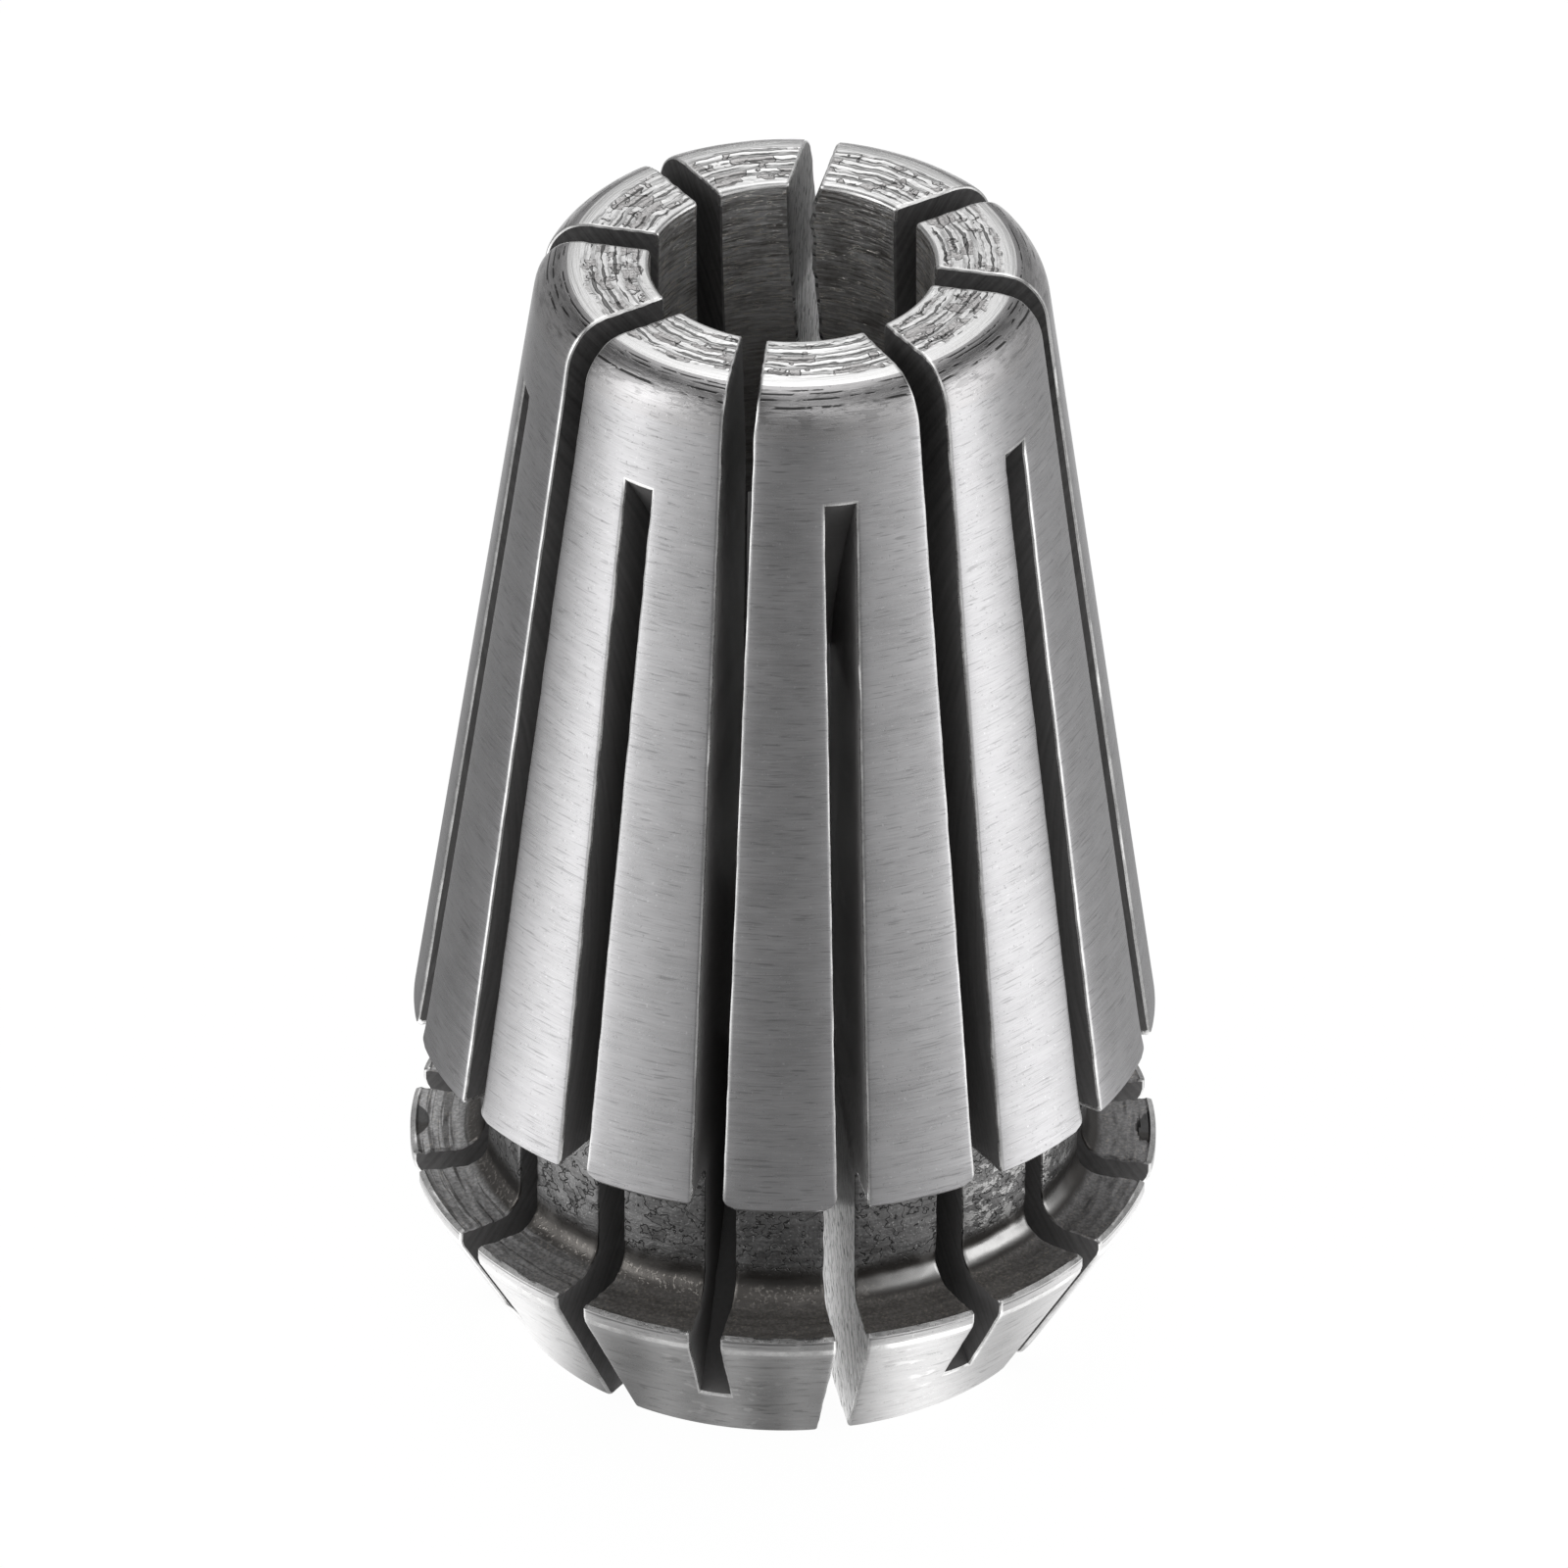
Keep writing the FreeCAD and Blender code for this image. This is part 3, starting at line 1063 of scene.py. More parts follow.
@dataclass
class ColumnPlan:
    """How the columns of the mesh lie around half of one slot pitch.

    Column 0 is the middle of a front slot and the last column is the middle of the next rear slot.
    """

    section: ColletSection
    slot_columns: int = 2
    land_columns: int = 13
    edge_margin: float = 0.10

    @property
    def count(self) -> int:
        """Number of columns."""
        return 2 * (self.slot_columns + 1) + self.land_columns

    @property
    def front_wall(self) -> int:
        """Column that lies on the front slot's wall."""
        return self.slot_columns

    @property
    def rear_wall(self) -> int:
        """Column that lies on the rear slot's wall."""
        return self.count - self.slot_columns

    def angle(self, column: float, radius: float) -> float:
        """Real angle of a column at a radius.

        Args:
            column: Place of the column, which may lie between two.
            radius: Distance from the axis, in millimetres.

        Returns:
            The angle from the front slot's middle, in radians.
        """
        half_pitch = self.section.pitch / 2
        if column > self.count / 2:
            return half_pitch - self.angle(self.count - column, radius)
        wall = math.asin(self.section.half_slot / radius)
        margin = math.asin((self.section.half_slot + self.edge_margin) / radius)
        if column <= self.slot_columns:
            return wall * column / self.slot_columns
        if column <= self.slot_columns + 1:
            return wall + (margin - wall) * (column - self.slot_columns)
        share = (column - self.slot_columns - 1) / self.land_columns
        return margin + (half_pitch - 2 * margin) * share


def linked(name: str, data: bpy.types.ID) -> bpy.types.Object:
    """Puts a new object in the scene.

    Args:
        name: Its name.
        data: Its mesh or camera.

    Returns:
        The object, at the origin.
    """
    made = bpy.data.objects.new(name, data)
    bpy.context.scene.collection.objects.link(made)
    return made


@dataclass
class ColletBody:
    """The dressed collet: one closed mesh with its slots, rounded slot edges and tool marks."""

    section: ColletSection
    edge_round: float = 0.055
    crease_angle: float = 38.0
    weld: float = 1e-4
    name: str = "collet_steel"
    columns: ColumnPlan = field(init=False)
    mesh: bmesh.types.BMesh = field(init=False)

    def __post_init__(self) -> None:
        """Starts an empty mesh and plans its columns."""
        self.columns = ColumnPlan(self.section)
        self.mesh = bmesh.new()

    def build(self) -> bpy.types.Object:
        """Models the collet.

        Returns:
            The finished object, in metres.
        """
        self.sweep_half_pitch()
        self.close_slot_walls()
        self.place_columns()
        self.round_slot_edges()
        self.repeat_around()
        ToolMarks(self.section).apply(self.mesh)
        return self.finished_object()

    def sweep(self, stretch: Stretch, first: int, last: int) -> None:
        """Spins one stretch of the section through a range of columns, one degree to a column.

        Args:
            stretch: The stretch to spin.
            first: Column where it starts.
            last: Column where it ends.
        """
        turn = Matrix.Rotation(math.radians(first), 3, "Z")
        places = [turn @ Vector((radius, 0.0, height)) for radius, height in stretch.points]
        verts = [self.mesh.verts.new(place) for place in places]
        edges = [self.mesh.edges.new(pair) for pair in zip(verts, verts[1:])]
        known = set(self.mesh.faces)
        bmesh.ops.spin(
            self.mesh,
            geom=verts + edges,
            cent=(0.0, 0.0, 0.0),
            axis=(0.0, 0.0, 1.0),
            angle=math.radians(last - first),
            steps=last - first,
            use_merge=False,
        )
        for face in self.mesh.faces:
            if face not in known:
                face.material_index = stretch.skin.value

    def sweep_half_pitch(self) -> None:
        """Sweeps the section from the middle of a front slot to the middle of the next rear slot."""
        plan = self.columns
        section = self.section
        front = section.front_stretches()
        rear = section.rear_stretches()
        whole = [*front, *section.middle_stretches(), *rear, *section.bore_stretches()]
        front_end = section.on_seat(section.front_slot_end)[0]
        rear_end = section.on_cone(section.rear_slot_end)[0]
        front_floor = Stretch(Skin.SAWN, section.front_cut.run_out(section.bore_radius, front_end, 18))
        rear_floor = Stretch(Skin.SAWN, section.rear_cut.run_out(section.bore_radius, rear_end, 22))
        for stretch in [*rear, front_floor]:
            self.sweep(stretch, 0, plan.front_wall)
        for stretch in whole:
            self.sweep(stretch, plan.front_wall, plan.rear_wall)
        for stretch in [*front, rear_floor]:
            self.sweep(stretch, plan.rear_wall, plan.count)
        bmesh.ops.remove_doubles(self.mesh, verts=self.mesh.verts, dist=1e-5)

    @staticmethod
    def column_of(vert: bmesh.types.BMVert) -> float:
        """Column of a vertex, before the columns are placed."""
        return math.degrees(math.atan2(vert.co.y, vert.co.x))

    def close_slot_walls(self) -> None:
        """Fills the flat wall on each side of the sweep, where a slot has cut it."""
        for wall in (self.columns.front_wall, self.columns.rear_wall):
            rim = [
                edge
                for edge in self.mesh.edges
                if edge.is_boundary and all(abs(self.column_of(vert) - wall) < 0.01 for vert in edge.verts)
            ]
            for face in bmesh.ops.contextual_create(self.mesh, geom=rim)["faces"]:
                face.material_index = Skin.SAWN.value

    def place_columns(self) -> None:
        """Moves each vertex around the axis to its column's real angle."""
        for vert in self.mesh.verts:
            radius = math.hypot(vert.co.x, vert.co.y)
            angle = self.columns.angle(self.column_of(vert), radius)
            vert.co.x = radius * math.cos(angle)
            vert.co.y = radius * math.sin(angle)

    def round_slot_edges(self) -> None:
        """Rounds the edges where the slots break through the turned surfaces."""
        bmesh.ops.recalc_face_normals(self.mesh, faces=self.mesh.faces)
        sawn = Skin.SAWN.value
        edges = [
            edge
            for edge in self.mesh.edges
            if len(edge.link_faces) == 2 and sum(face.material_index == sawn for face in edge.link_faces) == 1
        ]
        rounded_edges = bmesh.ops.bevel(
            self.mesh,
            geom=edges,
            offset=self.edge_round,
            offset_type="OFFSET",
            segments=2,
            profile=0.5,
            affect="EDGES",
            clamp_overlap=False,
            material=-1,
        )
        for face in rounded_edges["faces"]:
            face.material_index = self.edge_skin(face.calc_center_median()).value
        bmesh.ops.triangulate(
            self.mesh, faces=[face for face in self.mesh.faces if len(face.verts) > 4], ngon_method="BEAUTY"
        )

    def edge_skin(self, middle: Vector) -> Skin:
        """The finish of a rounded slot edge: dark in the bore and the groove, and bright outside.

        Args:
            middle: Middle of one of its faces.

        Returns:
            The finish.
        """
        section = self.section
        radius = math.hypot(middle.x, middle.y)
        if radius < section.bore_radius + 0.4 and middle.z < section.length - 0.4:
            return Skin.SAWN
        if radius < section.rim_radius - 0.15 and section.rim_top - 0.05 < middle.z < section.seat_lower:
            return Skin.GROOVE
        return Skin.EDGE

    def repeat_around(self) -> None:
        """Mirrors the half pitch and repeats it around the axis."""
        whole = self.whole_geometry()
        bmesh.ops.mirror(self.mesh, geom=whole, matrix=Matrix.Identity(4), merge_dist=self.weld, axis="Y")
        copies = self.section.slots_per_end - 1
        bmesh.ops.spin(
            self.mesh,
            geom=self.whole_geometry(),
            cent=(0.0, 0.0, 0.0),
            axis=(0.0, 0.0, 1.0),
            angle=self.section.pitch * copies,
            steps=copies,
            use_duplicate=True,
        )
        bmesh.ops.remove_doubles(self.mesh, verts=self.mesh.verts, dist=self.weld)
        bmesh.ops.recalc_face_normals(self.mesh, faces=self.mesh.faces)

    def whole_geometry(self) -> list[Union[bmesh.types.BMVert, bmesh.types.BMEdge, bmesh.types.BMFace]]:
        """Every vertex, edge and face of the mesh."""
        return [*self.mesh.verts, *self.mesh.edges, *self.mesh.faces]

    def finished_object(self) -> bpy.types.Object:
        """Scales the mesh to metres and makes its object, with its finishes.

        Returns:
            The object, which rides on the body and replaces the plain solid.
        """
        bmesh.ops.scale(self.mesh, vec=(METRES_PER_MM,) * 3, verts=self.mesh.verts)
        sharp = math.radians(self.crease_angle)
        for face in self.mesh.faces:
            face.smooth = True
        for edge in self.mesh.edges:
            sawn = [face.material_index == Skin.SAWN.value for face in edge.link_faces]
            edge.smooth = not (any(sawn) and not all(sawn)) and edge.calc_face_angle(0.0) < sharp
        data = bpy.data.meshes.new(self.name)
        self.mesh.to_mesh(data)
        open_edges = sum(not edge.is_manifold for edge in self.mesh.edges)
        triangles = sum(len(face.verts) - 2 for face in self.mesh.faces)
        LOG.info("%s: %d triangles, %d open edges", self.name, triangles, open_edges)
        self.mesh.free()
        for skin in Skin:
            data.materials.append(FINISHES[skin].material())
        piece = linked(self.name, data)
        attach(piece, BODY)
        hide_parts(NODE)
        return piece


def held(value: float) -> float:
    """A number held between 0 and 1."""
    return min(1.0, max(0.0, value))


@dataclass(frozen=True)
class Spot:
    """Where a vertex lies: its radius and height in millimetres, and its angle around the axis."""

    radius: float
    height: float
    azimuth: float

    @classmethod
    def of(cls, place: Vector) -> "Spot":
        """The spot of a point."""
        return cls(math.hypot(place.x, place.y), place.z, math.atan2(place.y, place.x))

    @property
    def around(self) -> Vector:
        """Direction of the spot from the axis."""
        return Vector((math.cos(self.azimuth), math.sin(self.azimuth), 0.0))

    def beside(self, azimuth: float) -> float:
        """Millimetres around the axis from an azimuth in degrees."""
        return self.radius * math.remainder(self.azimuth - math.radians(azimuth), 2 * math.pi)


@dataclass(frozen=True)
class ToolMarks:
    """Marks that the tools and hard use left, as small moves of the mesh, in millimetres."""

    section: ColletSection
    ridge_pitch: float = 0.42
    ridge_depth: float = 0.02
    ridge_reach: float = 0.15
    worn_rim: float = 0.38
    worn_rim_depth: float = 0.045
    worn_rim_reach: float = 0.35
    ledge_depth: float = 0.02
    ledge_grit: float = 0.03
    groove_grit: float = 0.03
    nick_azimuth: float = -10.6
    nick_length: float = 1.25
    nick_width: float = 0.30
    nick_depth: float = 0.16
    nick_edge_margin: float = 0.15
    worn_corner: float = 0.33
    far_corner_share: float = 0.35
    corner_fade: float = 2.2
    floor_margin: float = 0.12
    flank_margin: float = 1.5
    flank_width: float = 0.24
    flank_depth: float = 0.016
    edge_wander: float = 0.022
    edge_band: float = 0.08
    bore_margin: float = 0.3
    slack: float = 0.05
    slot_drifts: tuple[float, ...] = (0.20, 0.42, 0.17, -0.17, 0.07, 0.0, 0.0, 0.15)
    drift_low: float = 20.5
    drift_high: float = 27.5
    pinches: tuple[tuple[float, float, float], ...] = ((-112.5, -0.12, -0.26), (-67.5, 0.14, 0.0))
    pinch_depth: float = 3.0
    pinch_width: float = 2.1
    pinch_reach: float = 0.8
    burr_azimuth: float = 67.5
    burr_reach: float = 0.26
    burr_width: float = 0.25
    burr_height: float = 0.09
    burr_low: float = 14.0
    burr_fade: float = 5.0
    burr_mouth: float = 0.5
    high_slot_azimuth: float = -90.0
    end_rise: float = 0.13
    end_reach: float = 0.9

    def apply(self, mesh: bmesh.types.BMesh) -> None:
        """Moves each vertex by the marks at its place.

        Args:
            mesh: The collet's mesh, in millimetres.
        """
        seat_slope = math.tan(math.radians(self.section.seat_half_angle))
        for vert in mesh.verts:
            spot = Spot.of(vert.co)
            sink = self.rear_face_sink(spot) + self.rim_top_sink(spot)
            rise = self.slot_end_rise(spot)
            lift = self.corner_lift(spot) + rise
            swell = self.groove_swell(spot) - self.flank_wear(spot) - rise * seat_slope
            shift = self.slot_drift(spot) + self.burr(spot) + self.ragged_edge(spot) + self.pinch(spot)
            turn = spot.azimuth + shift / spot.radius
            out = spot.radius + swell
            vert.co = Vector((out * math.cos(turn), out * math.sin(turn), spot.height - sink + lift))

    def slot_end_rise(self, spot: Spot) -> float:
        """How far the end of the slot that faces the camera lies above the others.

        Args:
            spot: Where the vertex lies.

        Returns:
            The upward move.
        """
        side = abs(spot.beside(self.high_slot_azimuth))
        from_slot = max(0.0, side - self.section.slot_width) / self.end_reach
        if from_slot >= 1.0 or spot.radius < self.section.bore_radius + self.bore_margin:
            return 0.0
        from_end = abs(spot.height - self.section.front_cut.height_at(spot.radius)) / self.end_reach
        return self.end_rise * (1.0 - from_slot) * max(0.0, 1.0 - from_end)

    def flank_wear(self, spot: Spot) -> float:
        """How far the outside is worn down beside the slots that cut it.

        Args:
            spot: Where the vertex lies.

        Returns:
            The inward move.
        """
        section = self.section
        outside = spot.radius > section.bore_radius + self.flank_margin
        if not outside or section.rim_top - self.slack < spot.height < section.seat_lower + self.slack:
            return 0.0
        wear = 0.0
        cut_by_front = spot.height < section.front_slot_end
        cut_by_rear = spot.height > section.rear_slot_end
        for first, cut in ((0.0, cut_by_front), (section.pitch / 2, cut_by_rear)):
            side = abs(math.remainder(spot.azimuth - first, section.pitch))
            gap = spot.radius * side - section.half_slot
            if cut and gap > -0.02:
                wear = max(wear, max(0.0, 1.0 - gap / self.flank_width) ** 2)
        return self.flank_depth * wear

    def ragged_edge(self, spot: Spot) -> float:
        """How far a slot's outer edge wanders, where the saw has torn it.

        Args:
            spot: Where the vertex lies.

        Returns:
            The move around the axis.
        """
        side = math.remainder(spot.azimuth, self.section.pitch / 2)
        gap = abs(spot.radius * abs(side) - self.section.half_slot)
        if spot.radius < self.section.bore_radius + self.bore_margin or gap > self.edge_band:
            return 0.0
        wall = 2 * round(spot.azimuth / (self.section.pitch / 2)) + (side > 0)
        ragged = noise.noise(Vector((spot.radius * 4.0, wall * 5.3, spot.height * 1.9)))
        return self.edge_wander * ragged * (1.0 - gap / self.edge_band)

    def pinch(self, spot: Spot) -> float:
        """How far the inner corners of the front segment close its slots at the rear face.

        Args:
            spot: Where the vertex lies.

        Returns:
            The move around the axis.
        """
        section = self.section
        inner = held((section.rear_flat_radius + self.bore_margin - spot.radius) / self.pinch_width)
        rise = held((spot.height - section.length + self.pinch_depth) / self.pinch_depth)
        move = 0.0
        for azimuth, left, right in self.pinches:
            side = spot.beside(azimuth)
            gap = abs(side) - section.half_slot
            if gap > -self.edge_band:
                move += (right if side > 0 else left) * held(1.0 - gap / self.pinch_reach)
        return move * inner * rise

    def slot_drift(self, spot: Spot) -> float:
        """How far the rear ends of the segments have sprung around the axis.

        Args:
            spot: Where the vertex lies.

        Returns:
            The move around the axis.
        """
        if spot.height < self.drift_low:
            return 0.0
        rise = held((spot.height - self.drift_low) / (self.drift_high - self.drift_low))
        slots = self.section.slots_per_end
        place = (spot.azimuth / self.section.pitch - 0.5) % slots
        slot = int(place)
        here, following = self.slot_drifts[slot], self.slot_drifts[(slot + 1) % slots]
        return (here + (following - here) * (place - slot)) * rise * rise * (3 - 2 * rise)

    def burr(self, spot: Spot) -> float:
        """How far the ragged burr on one slot's inner edge stands into the slot.

        Args:
            spot: Where the vertex lies.

        Returns:
            The move around the axis.
        """
        section = self.section
        side = -spot.beside(self.burr_azimuth)
        near = held(1.0 - (side - section.half_slot - 0.02) / self.burr_width)
        outside = spot.radius > section.bore_radius + self.burr_height
        if side < section.half_slot - self.slack or near <= 0.0 or outside:
            return 0.0
        mouth = section.length - section.rear_bore_break
        span = held((mouth - spot.height) / self.burr_mouth)
        span *= held((spot.height - self.burr_low) / self.burr_fade)
        ragged = noise.fractal(Vector((3.0, 8.0, spot.height * 2.6)), 0.8, 2.0, 3)
        return self.burr_reach * near * span * (0.85 + 0.35 * ragged)

    def corner_lift(self, spot: Spot) -> float:
        """How far the worn lower corners of the taper's segments are lifted.

        Args:
            spot: Where the vertex lies.

        Returns:
            The upward move.
        """
        section = self.section
        above = spot.height - section.seat_lower
        fade = self.corner_fade * self.worn_corner
        outside = spot.radius - section.groove_radius - self.floor_margin
        if not -0.02 < above < fade or outside < 0.0:
            return 0.0
        side = math.remainder(spot.azimuth, section.pitch / 2)
        gap = max(0.0, spot.radius * abs(side) - section.half_slot)
        to_front = -math.cos(spot.azimuth - math.radians(CAMERA_AZIMUTH)) * math.copysign(1.0, side)
        size = self.worn_corner * (1.0 if to_front > 0 else self.far_corner_share)
        if gap >= size:
            return 0.0
        lift = size - math.sqrt(size**2 - (size - gap) ** 2)
        return lift * held(outside / 0.2) * (1.0 - max(0.0, above) / fade)

    def rear_face_sink(self, spot: Spot) -> float:
        """How far the rear face is cut down by broad ridges, and its rim by wear.

        Args:
            spot: Where the vertex lies.

        Returns:
            The depth.
        """
        section = self.section
        below = section.length - spot.height
        if below > self.worn_rim_reach:
            return 0.0
        from_edge = math.hypot(spot.radius - section.rear_flat_radius, below) / self.worn_rim
        worn = self.worn_rim_depth * max(0.0, 1.0 - from_edge) ** 2
        if below > self.ridge_reach:
            return worn
        wander = 0.5 * noise.noise(spot.around * 1.7) + 0.2 * noise.noise(spot.around * 7.0)
        swell = 0.5 + 0.5 * math.cos(2 * math.pi * (spot.radius / self.ridge_pitch + wander))
        outer = held((section.rear_flat_radius - 0.3 - spot.radius) / 0.2)
        inner = held((spot.radius - section.bore_radius - section.rear_bore_break - 0.08) / 0.1)
        broken = held(noise.noise(spot.around * 4.0 + Vector((0.0, 0.0, spot.radius * 2.5))) + 0.4)
        return worn + self.ridge_depth * swell * outer * inner * broken

    def rim_top_sink(self, spot: Spot) -> float:
        """How far the rim's upper face is cut down by tool marks and the nick.

        Args:
            spot: Where the vertex lies.

        Returns:
            The depth.
        """
        section = self.section
        inner = section.groove_radius + section.groove_floor_round - 0.3
        if abs(spot.height - section.rim_top) > 0.12 or not inner < spot.radius < section.rim_radius - 0.13:
            return 0.0
        around = spot.around
        rough = noise.fractal(Vector((around.x * 20.0, around.y * 20.0, spot.radius * 6.0)), 0.9, 2.0, 3)
        sink = self.ledge_depth + self.ledge_grit * rough
        from_nick = spot.azimuth - math.radians(self.nick_azimuth)
        along = abs(spot.radius * math.sin(from_nick)) / (self.nick_length / 2)
        outer = section.rim_radius - self.nick_edge_margin
        bow = self.nick_width * max(0.0, 1.0 - along**2)
        inside = outer - bow < spot.radius * math.cos(from_nick) < outer
        if inside and along < 1.0 and math.cos(from_nick) > 0:
            sink = max(sink, self.nick_depth * (1.0 - along**2) ** 0.5)
        return max(0.0, sink)

    def groove_swell(self, spot: Spot) -> float:
        """How far the groove's floor stands proud or low.

        Args:
            spot: Where the vertex lies.

        Returns:
            The outward move.
        """
        section = self.section
        near_floor = section.groove_radius - 0.1 < spot.radius < section.groove_radius + 0.35
        if not near_floor or not section.rim_top + 0.1 < spot.height < section.seat_lower - 0.2:
            return 0.0
        around = spot.around
        grit = noise.fractal(Vector((around.x * 17.0, around.y * 17.0, spot.height * 3.2)), 0.9, 2.0, 4)
        return self.groove_grit * grit


# The studio


@dataclass(frozen=True)
class Strip:
    """An upright strip light, seen from the collet by its azimuth."""

    azimuth: float
    strength: float
    spread: float


@dataclass(frozen=True)
class Glow:
    """A soft round patch of light, seen from the collet in one direction."""

    azimuth: float
    elevation: float
    strength: float
    spread: float


def sharpness(spread: float) -> float:
    """The power that halves a lobe of light at this angle in degrees from its middle."""
    return math.log(0.5) / math.log(math.cos(math.radians(spread)))


@dataclass
class Studio:
    """Floor, surrounding light and camera."""

    azimuth: float = CAMERA_AZIMUTH
    elevation: float = 34.374
    distance: float = 0.5076
    aim_across: float = -0.00006
    aim_height: float = 0.01343
    roll: float = 0.595
    lens: float = 516.5
    sensor: float = 36.0
    floor_size: float = 6.0
    floor_glow: float = 1.05
    floor_matt_share: float = 0.08
    base_light: float = 0.13
    low_light: float = 0.2
    strip_top: float = 0.70
    strips: tuple[Strip, ...] = (
        Strip(74.0, 0.90, 13.0),
        Strip(60.0, 0.52, 34.0),
        Strip(-70.0, 0.82, 12.5),
        Strip(-56.0, 0.56, 31.0),
        Strip(130.0, 0.26, 30.0),
        Strip(-140.0, 0.16, 30.0),
    )
    glows: tuple[Glow, ...] = (
        Glow(180.0, 62.0, 1.20, 19.0),
        Glow(180.0, 84.0, 0.76, 16.0),
        Glow(180.0, 34.0, 0.56, 15.0),
        Glow(2.0, 47.0, 0.60, 10.0),
        Glow(4.0, 64.0, 0.38, 10.0),
        Glow(24.0, 44.0, 0.55, 9.0),
        Glow(-68.0, 25.0, 0.75, 13.0),
        Glow(-52.0, 34.0, 0.50, 10.0),
        Glow(92.0, 20.0, 0.60, 12.0),
        Glow(40.0, 40.0, 0.45, 12.0),
    )
    back_strip: Strip = Strip(180.0, 1.10, 17.0)
    near_strips: tuple[Strip, ...] = (
        Strip(31.0, 1.15, 12.0),
        Strip(62.0, 0.50, 14.0),
        Strip(90.0, 1.10, 18.0),
        Strip(-62.0, 1.10, 14.0),
        Strip(-92.0, 0.95, 17.0),
        Strip(-24.0, 0.22, 5.0),
        Strip(-11.0, 0.22, 5.0),
        Strip(4.0, 0.13, 3.5),
        Strip(180.0, 0.40, 50.0),
    )
    near_base: float = 0.17
    near_radius: float = 0.018
    under_light: float = 0.95
    under_edge: Edge = (0.0063, 0.0060)
    ring_light: float = 0.22
    ring_band: Band = (0.0086, 0.0092, 0.0120, 0.0128)

    def direction(self, azimuth: float, elevation: float) -> Vector:
        """A direction from the object, by its angle from the camera's side.

        Args:
            azimuth: Angle from the camera's side, positive to the camera's right, in degrees.
            elevation: Angle above the floor, in degrees.

        Returns:
            A unit vector.
        """
        turn = math.radians(self.azimuth + azimuth)
        rise = math.radians(elevation)
        return Vector((math.sin(turn) * math.cos(rise), -math.cos(turn) * math.cos(rise), math.sin(rise)))

    def build(self) -> None:
        """Makes the floor, the light and the camera."""
        self.make_camera()
        self.make_floor()
        self.make_light()
        bpy.context.scene.view_settings.view_transform = "Standard"

    def make_camera(self) -> None:
        """Points the camera at the collet from the photograph's angle."""
        data = bpy.data.cameras.new("camera")
        data.lens = self.lens
        data.sensor_width = self.sensor
        data.clip_start = 0.01
        data.clip_end = 50.0
        camera = linked("camera", data)
        back = self.direction(0.0, self.elevation)
        up = Vector((0.0, 0.0, 1.0))
        aim = up.cross(back).normalized() * self.aim_across + up * self.aim_height
        camera.location = aim + back * self.distance
        camera.rotation_mode = "QUATERNION"
        camera.rotation_quaternion = Quaternion(back, math.radians(self.roll)) @ back.to_track_quat("Z", "Y")
        bpy.context.scene.camera = camera

    def strip_light(self, graph: ShaderGraph, place: Signal, strips: Iterable[Strip], base: float) -> Signal:
        """The strips' light by the azimuth of a direction or a place.

        Args:
            graph: The graph to add to.
            place: A vector from the axis.
            strips: The strips that count.
            base: Level of light where no strip reaches.

        Returns:
            The level of light.
        """
        bearing = graph.vector_math("NORMALIZE", graph.vector_math("MULTIPLY", place, (1.0, 1.0, 0.0)))
        level: Operand = base
        for strip in strips:
            middle = self.direction(strip.azimuth, 0.0)
            level = self.lobe(graph, bearing, middle, strip.spread) * strip.strength + level
        return level

    @staticmethod
    def lobe(graph: ShaderGraph, bearing: Signal, middle: Vector, spread: float) -> Signal:
        """A soft lobe of light about a direction.

        Args:
            graph: The graph to add to.
            bearing: The direction that is asked about, as a unit vector.
            middle: The lobe's middle.
            spread: Degrees from the middle to half strength.

        Returns:
            1 in the middle, falling to 0.
        """
        towards = graph.vector_math("DOT_PRODUCT", bearing, middle, output="Value")
        return towards.at_least(0.0) ** sharpness(spread)

    def floor_light(self, graph: ShaderGraph) -> Signal:
        """The light that the floor throws up: near the collet, far from it, under it and in a ring around it.

        Args:
            graph: The graph to add to.

        Returns:
            The level of light.
        """
        place = graph.add("ShaderNodeTexCoord", output="Object")
        reach = graph.vector_math("LENGTH", place, output="Value")
        near = reach.step(self.near_radius, self.near_radius * 0.6)
        under = reach.step(*self.under_edge)
        far_light = self.strip_light(graph, place, [*self.strips, self.back_strip], self.base_light)
        near_light = self.strip_light(graph, place, self.near_strips, self.near_base)
        level = (near_light * near + far_light * (1 - near)) * (1 - under)
        return level + under * self.under_light + reach.within(*self.ring_band) * self.ring_light

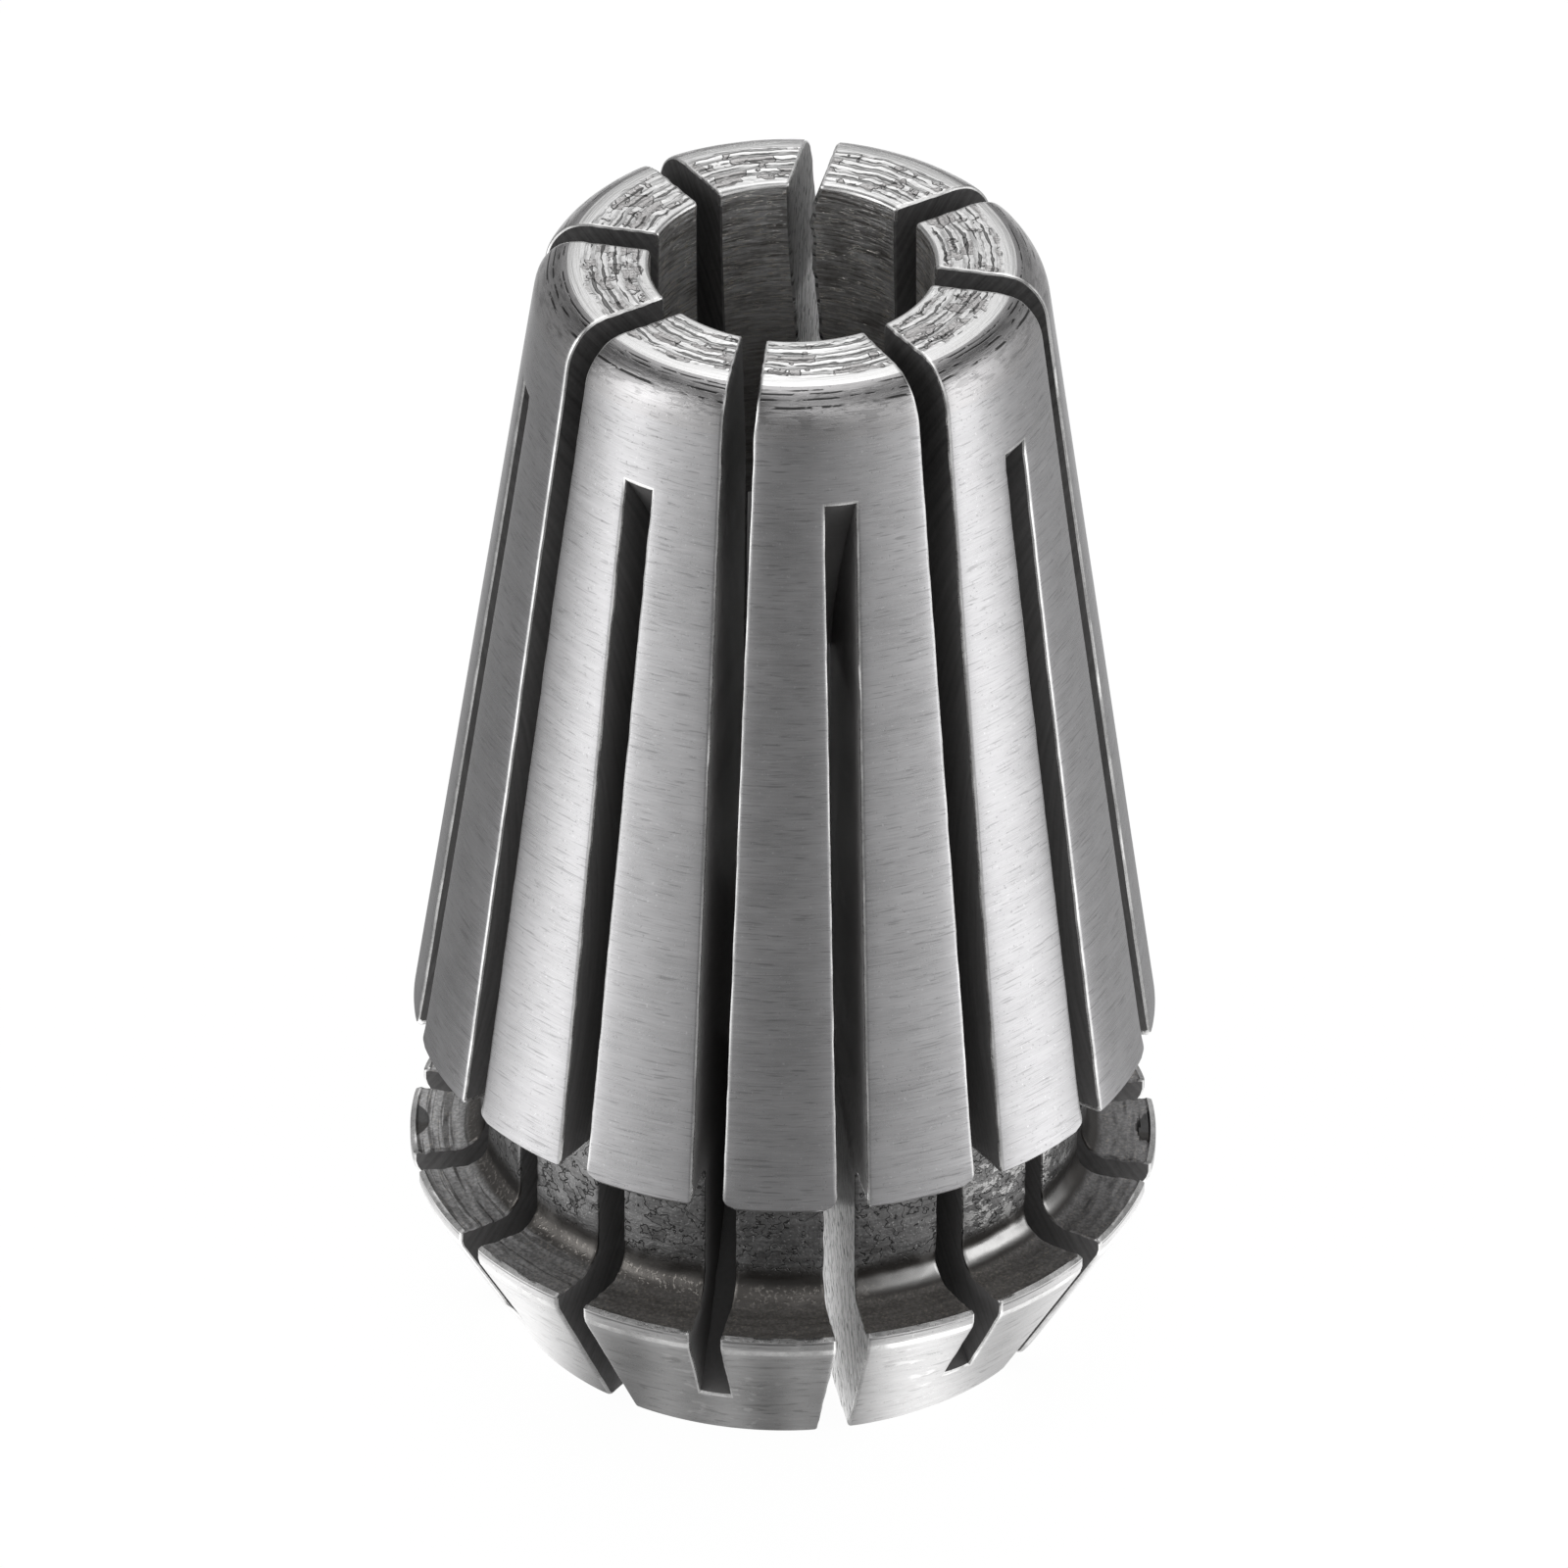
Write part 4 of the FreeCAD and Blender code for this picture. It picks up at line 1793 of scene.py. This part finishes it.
    def make_floor(self) -> None:
        """Lays a plain pale floor, which throws the same light up as the strips throw down."""
        mesh = bmesh.new()
        bmesh.ops.create_grid(mesh, x_segments=1, y_segments=1, size=self.floor_size / 2)
        data = bpy.data.meshes.new("floor")
        mesh.to_mesh(data)
        mesh.free()
        paint = bpy.data.materials.new("pale_floor")
        paint.use_nodes = True
        graph = ShaderGraph(paint.node_tree)
        thrown = graph.add("ShaderNodeEmission", inputs={"Color": WHITE, "Strength": self.floor_light(graph)})
        glow = graph.add("ShaderNodeEmission", inputs={"Color": WHITE, "Strength": self.floor_glow})
        matt = graph.add("ShaderNodeBsdfDiffuse", inputs={"Color": (0.9, 0.9, 0.9, 1.0)})
        pale = graph.mix_shaders(self.floor_matt_share, glow, matt)
        graph.add("ShaderNodeOutputMaterial", inputs={"Surface": self.when_seen(graph, pale, thrown)})
        data.materials.append(paint)
        floor = linked("floor", data)

    def make_light(self) -> None:
        """Surrounds the scene with soft light: strips, round glows, and white where the camera looks."""
        world = bpy.data.worlds.new("studio")
        bpy.context.scene.world = world
        world.use_nodes = True
        graph = ShaderGraph(world.node_tree)
        ray = graph.add("ShaderNodeTexCoord", output="Generated")
        height = graph.add("ShaderNodeSeparateXYZ", inputs={0: ray}, output="Z")
        low = height.step(self.strip_top, self.strip_top * 0.45) * (1 - self.low_light) + self.low_light
        level = self.strip_light(graph, ray, self.strips, self.base_light) * low
        for glow in self.glows:
            middle = self.direction(glow.azimuth, glow.elevation)
            level = self.lobe(graph, ray, middle, glow.spread) * glow.strength + level
        lit = graph.add("ShaderNodeBackground", inputs={"Color": WHITE, "Strength": level})
        plain = graph.add("ShaderNodeBackground", inputs={"Color": WHITE, "Strength": 1.0})
        graph.add("ShaderNodeOutputWorld", inputs={"Surface": self.when_seen(graph, plain, lit)})

    @staticmethod
    def when_seen(graph: ShaderGraph, seen: Signal, thrown: Signal) -> Signal:
        """One shader for what is looked at and another for the light that it throws.

        Args:
            graph: The graph to add to.
            seen: The shader for rays that come straight from the camera.
            thrown: The shader for all others.

        Returns:
            The two together.
        """
        return graph.mix_shaders(graph.add("ShaderNodeLightPath", output="Is Camera Ray"), thrown, seen)


def read_section() -> ColletSection:
    """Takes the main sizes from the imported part.

    Returns:
        The section that fits it.
    """
    low, high = (Vector(corner) / METRES_PER_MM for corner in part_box(NODE))
    bore = next(mount for mount in frame["record"]["mounts"] if mount["name"] == "bore")
    rim_radius = math.hypot(high.x, ColletSection.slot_width / 2)
    return ColletSection(length=high.z - low.z, rim_radius=rim_radius, bore_radius=bore["dims"]["r_mm"])


def main() -> None:
    """Builds the collet and its studio, and reports each piece."""
    logging.basicConfig(level=logging.INFO, format="%(name)s: %(message)s")
    piece = ColletBody(read_section()).build()
    LOG.info("%s: %d vertices, %d finishes", piece.name, len(piece.data.vertices), len(piece.data.materials))
    Studio().build()


if __name__ == "__main__":
    main()
